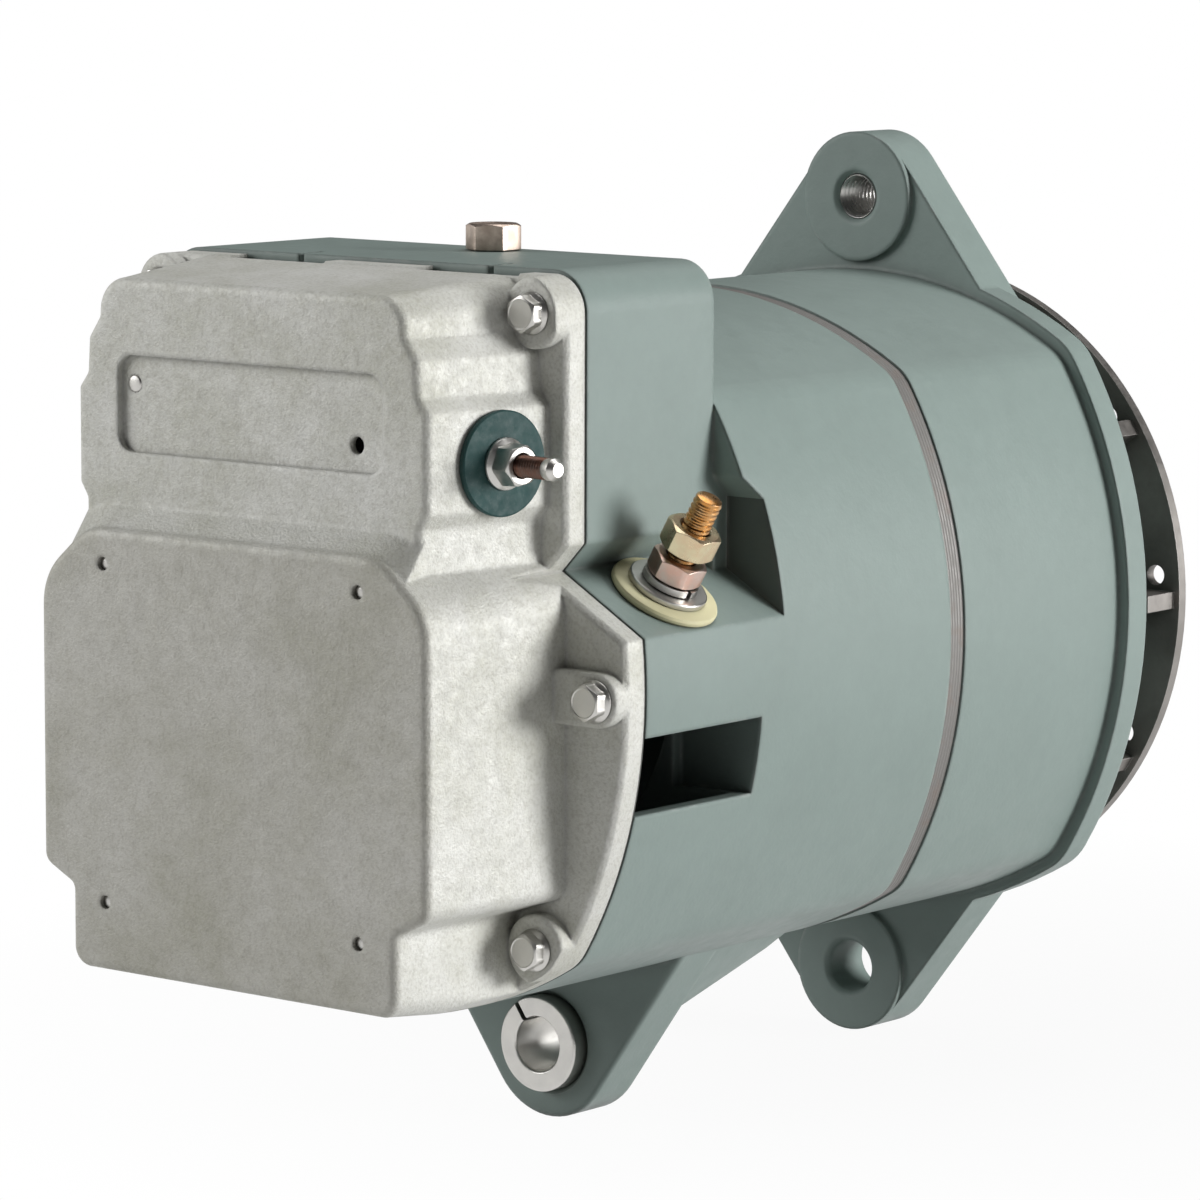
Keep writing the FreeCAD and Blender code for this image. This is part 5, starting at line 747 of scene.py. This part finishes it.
class ALTERNATOR_OT_small_terminal(bpy.types.Operator):
    """Stud, flanged nut and insulating disc on the side of the cover"""
    bl_idname = "alternator.small_terminal"
    bl_label = "Small terminal"

    def execute(self, context):
        sizes = context.scene.alternator_sizes
        facets, chamfer = sizes.facets, sizes.chamfer
        radius, bore = 2.38, 2.5
        mount = mount_named("relay_terminal")
        base, axis = Vector(mount["pos_m"]), Vector(mount["axis"])
        stud = stud_shape(facets, chamfer, sizes.relay_thread, radius=radius, depth=0.35,
                          start=-4.8, end=15.8)
        merge_in(stud, turned_shape(rings_of([(4.6, -7.3), (5.0, -6.9), (5.0, -5.1), (4.6, -4.8)]), facets))
        place_piece("small_stud_threaded", stud, base, axis, "stud_bronze", ["relay_stud"],
                    sharp=THREAD_SHARP)
        tip = turned_shape(rings_of([(1.2, 15.0), (2.2, 15.2), (radius, 15.9), (radius, 17.4), (1.5, 18.6)]),
                           facets)
        place_piece("small_stud_tip", tip, base, axis, "zinc_steel")
        disc = turned_shape(rings_of([(bore, 0.0), (10.9, 0.0), (11.2, 0.3), (11.2, 1.3), (10.9, 1.6),
                                      (bore, 1.6)]), facets * 2, closed=True)
        merge_in(disc, washer_shape(facets, outer=3.9, bore=bore, base=-3.2, thickness=3.2, chamfer=0.1))
        merge_in(disc, washer_shape(facets, outer=7.0, bore=bore, base=-4.8, thickness=1.6, chamfer=0.2))
        place_piece("small_disc", disc, base, axis, "teal_plastic", ["relay_insulator"])
        flange = rings_of([(2.45, 1.9), (2.9, 1.6), (5.4, 1.6), (5.6, 1.9), (5.5, 2.3)])
        flange.append(hexagon(8.4 * MM, 2.9 * MM))
        upper = nut_rings(chamfer=chamfer * 0.8, **in_metres(flats=8.0, bore=2.45, base=2.8, height=4.6))[4:]
        place_piece("small_nut", turned_shape(flange + upper, facets, closed=True), base, axis, "zinc_steel",
                    ["relay_nut"])
        return {"FINISHED"}


class ALTERNATOR_OT_cover_screws(bpy.types.Operator):
    """Flanged hexagon screws that hold the rear cover"""
    bl_idname = "alternator.cover_screws"
    bl_label = "Cover screws"

    def execute(self, context):
        sizes = context.scene.alternator_sizes
        flats, rim, top = 7.2 * MM, 3.2 * MM, 3.9 * MM
        flange = rings_of([(2.48, 0.0), (4.4, 0.0), (4.6, 0.25), (4.5, 0.5), (3.95, 0.95)])
        head = [hexagon(flats, 1.15 * MM), hexagon(flats, top, rim), (rim, top)]
        hollow = rings_of([(3.0, 3.75), (1.0, 3.75)])
        whole = bmesh.new()
        for low, high in loose_boxes("cover_screws"):
            place = Vector(((low.x + high.x) / 2, low.y + top, (low.z + high.z) / 2))
            end = place.y - high.y
            shank = [(2.0 * MM, end), (2.48 * MM, end + 0.6 * MM)]
            screw = turned_shape(shank + flange + head + hollow, sizes.facets * 2)
            aim(screw, place, TO_REAR)
            merge_in(whole, screw)
        place_piece("cover_screws_flanged", whole, Vector(), UPWARDS, "zinc_steel", ["cover_screws"])
        return {"FINISHED"}


class ALTERNATOR_OT_cover_pins(bpy.types.Operator):
    """Round-headed pins sunk in the cover's rear faces"""
    bl_idname = "alternator.cover_pins"
    bl_label = "Cover pins"

    def execute(self, context):
        sizes = context.scene.alternator_sizes
        whole = bmesh.new()
        for low, high in loose_boxes("cover_pins"):
            radius = (high.x - low.x) / 2
            long = high.y - low.y
            pin = turned_shape([(radius * 0.9, 0.0), (radius, 0.2 * MM), (radius, long - 0.45 * MM),
                                (radius * 0.86, long - 0.15 * MM), (radius * 0.5, long)], sizes.facets)
            aim(pin, Vector(((low.x + high.x) / 2, high.y, (low.z + high.z) / 2)), TO_REAR)
            merge_in(whole, pin)
        place_piece("cover_pins_domed", whole, Vector(), UPWARDS, "zinc_steel", ["cover_pins"])
        return {"FINISHED"}


class ALTERNATOR_OT_ground_screw(bpy.types.Operator):
    """Hexagon screw on top of the housing"""
    bl_idname = "alternator.ground_screw"
    bl_label = "Ground screw"

    def execute(self, context):
        sizes = context.scene.alternator_sizes
        low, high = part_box("ground_screw")
        head_height, flats = 6.0 * MM, HEX_FLATS * MM
        seat = Vector(((low[0] + high[0]) / 2, (low[1] + high[1]) / 2, high[2] - head_height))
        shank = stud_rings(pitch=sizes.output_thread,
                           **in_metres(radius=2.95, depth=0.5, start=-8.3, end=0.0, chamfer=0.3))[:-2]
        head = [(5.2 * MM, 0.0), hexagon(flats, 0.3 * MM)] + head_rings(flats, 0.4 * MM, 5.6 * MM)[1:]
        screw = turned_shape(shank + head, sizes.facets)
        place_piece("ground_screw_hexagon", screw, seat, UPWARDS, "copper_plate", ["ground_screw"])
        return {"FINISHED"}


class ALTERNATOR_OT_shaft_end(bpy.types.Operator):
    """Threaded shaft end with its nut and washer"""
    bl_idname = "alternator.shaft_end"
    bl_label = "Shaft end"

    def execute(self, context):
        sizes = context.scene.alternator_sizes
        facets = sizes.facets
        turns = thread_rings(pitch=sizes.shaft_thread,
                             **in_metres(radius=7.94, depth=0.8, start=32.6, end=52.8))
        nose = rings_of([(6.9, 53.6), (6.2, 54.0), (2.0, 54.0), (0.6, 52.8)])
        thread = turned_shape(rings_of([(6.9, 32.2)]) + turns + nose, facets)
        place_piece("shaft_thread", thread, Vector(), TO_FRONT, "machined_steel", sharp=THREAD_SHARP,
                    body="rotor")
        washer = washer_shape(facets * 2, outer=15.5, bore=8.0, base=32.0, thickness=2.5, chamfer=0.5)
        place_piece("shaft_washer_thick", washer, Vector(), TO_FRONT, "zinc_steel", ["shaft_washer"],
                    body="nut_set")
        nut = nut_shape(facets * 2, sizes.chamfer * 1.6, flats=23.8, bore=8.0, base=34.5, height=13.0)
        place_piece("shaft_nut_chamfered", nut, Vector(), TO_FRONT, "zinc_steel", ["shaft_nut"],
                    body="nut_set")
        return {"FINISHED"}


class ALTERNATOR_OT_adjusting_thread(bpy.types.Operator):
    """Thread inside the adjusting hole of the upper lug"""
    bl_idname = "alternator.adjusting_thread"
    bl_label = "Adjusting hole thread"

    def execute(self, context):
        sizes = context.scene.alternator_sizes
        height = mount_named("adjusting_hole")["pos_m"][2]
        rings = thread_rings(pitch=sizes.lug_thread,
                             **in_metres(radius=5.48, depth=0.75, start=-36.9, end=-24.1))
        sleeve = turned_shape(rings, sizes.facets * 2)
        end_faces = [face for face in sleeve.faces if len(face.verts) > 4]
        bmesh.ops.delete(sleeve, geom=end_faces, context="FACES_ONLY")
        bmesh.ops.solidify(sleeve, geom=sleeve.faces[:], thickness=-0.1 * MM)
        place_piece("adjusting_hole_thread", sleeve, Vector((0.0, 0.0, height)), TO_FRONT, "machined_steel",
                    sharp=THREAD_SHARP)
        return {"FINISHED"}


class ALTERNATOR_OT_seam_band(bpy.types.Operator):
    """Bare edge of the stator laminations between the two frames"""
    bl_idname = "alternator.seam_band"
    bl_label = "Stator band"

    def execute(self, context):
        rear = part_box("rear_frame")[1][1]
        low, high = 0.15 * MM, 5.35 * MM
        inner, outer = 3.3 * MM, 0.45 * MM
        band = turned_shape([outline_ring(inner, low), outline_ring(outer, low), outline_ring(outer, high),
                             outline_ring(inner, high)], OUTLINE_FACETS, closed=True)
        place_piece("stator_band", band, Vector((0.0, rear, 0.0)), TO_FRONT, "laminations")
        return {"FINISHED"}


class ALTERNATOR_OT_studio(bpy.types.Operator):
    """White floor, soft lamps and the camera"""
    bl_idname = "alternator.studio"
    bl_label = "Studio"

    def execute(self, context):
        scene = context.scene
        studio = scene.alternator_studio
        centre = (Vector(MODEL_BOX[0]) + Vector(MODEL_BOX[1])) / 2
        add_floor(scene, MODEL_BOX[0][2], studio)
        add_world(scene, studio)
        for name, offset, size, power in LAMPS:
            add_lamp(name, centre, offset, size, getattr(studio, power))
        add_camera(scene, studio)
        scene.view_settings.view_transform = "Standard"
        return {"FINISHED"}


def add_floor(scene, height, studio):
    shape = bmesh.new()
    half_width = 30.0
    shade_reach = (0.12, 0.3)
    bmesh.ops.create_grid(shape, x_segments=2, y_segments=2, size=half_width)
    bmesh.ops.translate(shape, vec=(0.0, 0.0, height), verts=shape.verts)
    mesh = bpy.data.meshes.new("studio_floor")
    shape.to_mesh(mesh)
    shape.free()
    floor = bpy.data.objects.new("studio_floor", mesh)
    scene.collection.objects.link(floor)
    f = Finish("floor_white")
    path = f.tree.nodes.new("ShaderNodeLightPath")
    seen = f.maths("MAXIMUM", path.outputs["Is Camera Ray"], path.outputs["Is Glossy Ray"])
    seen = f.maths("MAXIMUM", seen, path.outputs["Is Transmission Ray"])
    reach = f.node("VectorMath", {"Vector": f.place}, 1)
    reach.node.operation = "LENGTH"
    share = f.ramp(reach, *shade_reach, studio.floor_white, 1.0)
    glow = f.tree.nodes.new("ShaderNodeEmission")
    glow.inputs["Color"].default_value = WHITE
    mix = f.tree.nodes.new("ShaderNodeMixShader")
    f.feed(mix.inputs[0], f.maths("MULTIPLY", seen, share))
    f.shader.inputs["Base Color"].default_value = (0.45, 0.45, 0.45, 1.0)
    f.shader.inputs["Roughness"].default_value = 0.9
    f.tree.links.new(f.shader.outputs[0], mix.inputs[1])
    f.tree.links.new(glow.outputs[0], mix.inputs[2])
    f.tree.links.new(mix.outputs[0], f.tree.nodes["Material Output"].inputs["Surface"])
    mesh.materials.append(f.material)


def add_world(scene, studio):
    world = bpy.data.worlds.new("studio_room")
    world.use_nodes = True
    tree = world.node_tree
    room = tree.nodes["Background"]
    room.inputs["Color"].default_value = WHITE
    room.inputs["Strength"].default_value = studio.room_level
    white = tree.nodes.new("ShaderNodeBackground")
    white.inputs["Color"].default_value = WHITE
    path = tree.nodes.new("ShaderNodeLightPath")
    mix = tree.nodes.new("ShaderNodeMixShader")
    tree.links.new(path.outputs["Is Camera Ray"], mix.inputs[0])
    tree.links.new(room.outputs[0], mix.inputs[1])
    tree.links.new(white.outputs[0], mix.inputs[2])
    tree.links.new(mix.outputs[0], tree.nodes["World Output"].inputs["Surface"])
    scene.world = world


def add_lamp(name, centre, offset, size, power):
    lamp = bpy.data.lights.new(name, "AREA")
    lamp.shape = "DISK"
    lamp.size = size
    lamp.energy = power
    holder = bpy.data.objects.new(name, lamp)
    holder.location = centre + Vector(offset)
    holder.rotation_euler = (-Vector(offset)).to_track_quat("-Z", "Y").to_euler()
    bpy.context.scene.collection.objects.link(holder)


def add_camera(scene, studio):
    data = bpy.data.cameras.new("camera")
    data.lens = studio.lens
    data.sensor_width = SENSOR_WIDTH
    data.clip_start = 0.05
    data.clip_end = 100.0
    camera = bpy.data.objects.new("camera", data)
    azimuth, elevation, roll = studio.azimuth, studio.elevation, studio.roll
    back = Vector((math.sin(azimuth) * math.cos(elevation), -math.cos(azimuth) * math.cos(elevation),
                   math.sin(elevation)))
    right = Vector((math.cos(azimuth), math.sin(azimuth), 0.0))
    up = back.cross(right)
    side = right * math.cos(roll) + up * math.sin(roll)
    rise = up * math.cos(roll) - right * math.sin(roll)
    turn = Matrix((side, rise, back)).transposed().to_4x4()
    camera.matrix_world = Matrix.Translation(studio.camera_place) @ turn
    scene.collection.objects.link(camera)
    scene.camera = camera


STEPS = (
    ALTERNATOR_OT_finishes,
    ALTERNATOR_OT_output_terminal,
    ALTERNATOR_OT_small_terminal,
    ALTERNATOR_OT_cover_screws,
    ALTERNATOR_OT_cover_pins,
    ALTERNATOR_OT_ground_screw,
    ALTERNATOR_OT_shaft_end,
    ALTERNATOR_OT_adjusting_thread,
    ALTERNATOR_OT_seam_band,
    ALTERNATOR_OT_studio,
)


class ALTERNATOR_PT_panel(bpy.types.Panel):
    """Sizes, colours and steps of the alternator's looks"""
    bl_label = "Alternator"
    bl_idname = "ALTERNATOR_PT_panel"
    bl_space_type = "VIEW_3D"
    bl_region_type = "UI"
    bl_category = "Alternator"

    def draw(self, context):
        scene = context.scene
        for step in STEPS:
            self.layout.operator(step.bl_idname)
        for group in (scene.alternator_tones, scene.alternator_sizes, scene.alternator_studio):
            box = self.layout.box()
            for name in group.bl_rna.properties.keys():
                if name not in ("rna_type", "name"):
                    box.prop(group, name)


GROUPS = {
    "alternator_tones": AlternatorTones,
    "alternator_sizes": AlternatorSizes,
    "alternator_studio": AlternatorStudio,
}


def register():
    for group in GROUPS.values():
        bpy.utils.register_class(group)
    for name, group in GROUPS.items():
        setattr(bpy.types.Scene, name, PointerProperty(type=group))
    for step in STEPS:
        bpy.utils.register_class(step)
    bpy.utils.register_class(ALTERNATOR_PT_panel)


def unregister():
    bpy.utils.unregister_class(ALTERNATOR_PT_panel)
    for step in reversed(STEPS):
        bpy.utils.unregister_class(step)
    for name, group in GROUPS.items():
        delattr(bpy.types.Scene, name)
        bpy.utils.unregister_class(group)


def main():
    register()
    bpy.ops.alternator.finishes()
    bpy.ops.alternator.output_terminal()
    bpy.ops.alternator.small_terminal()
    bpy.ops.alternator.cover_screws()
    bpy.ops.alternator.cover_pins()
    bpy.ops.alternator.ground_screw()
    bpy.ops.alternator.shaft_end()
    bpy.ops.alternator.adjusting_thread()
    bpy.ops.alternator.seam_band()
    bpy.ops.alternator.studio()


if __name__ == "__main__":
    main()
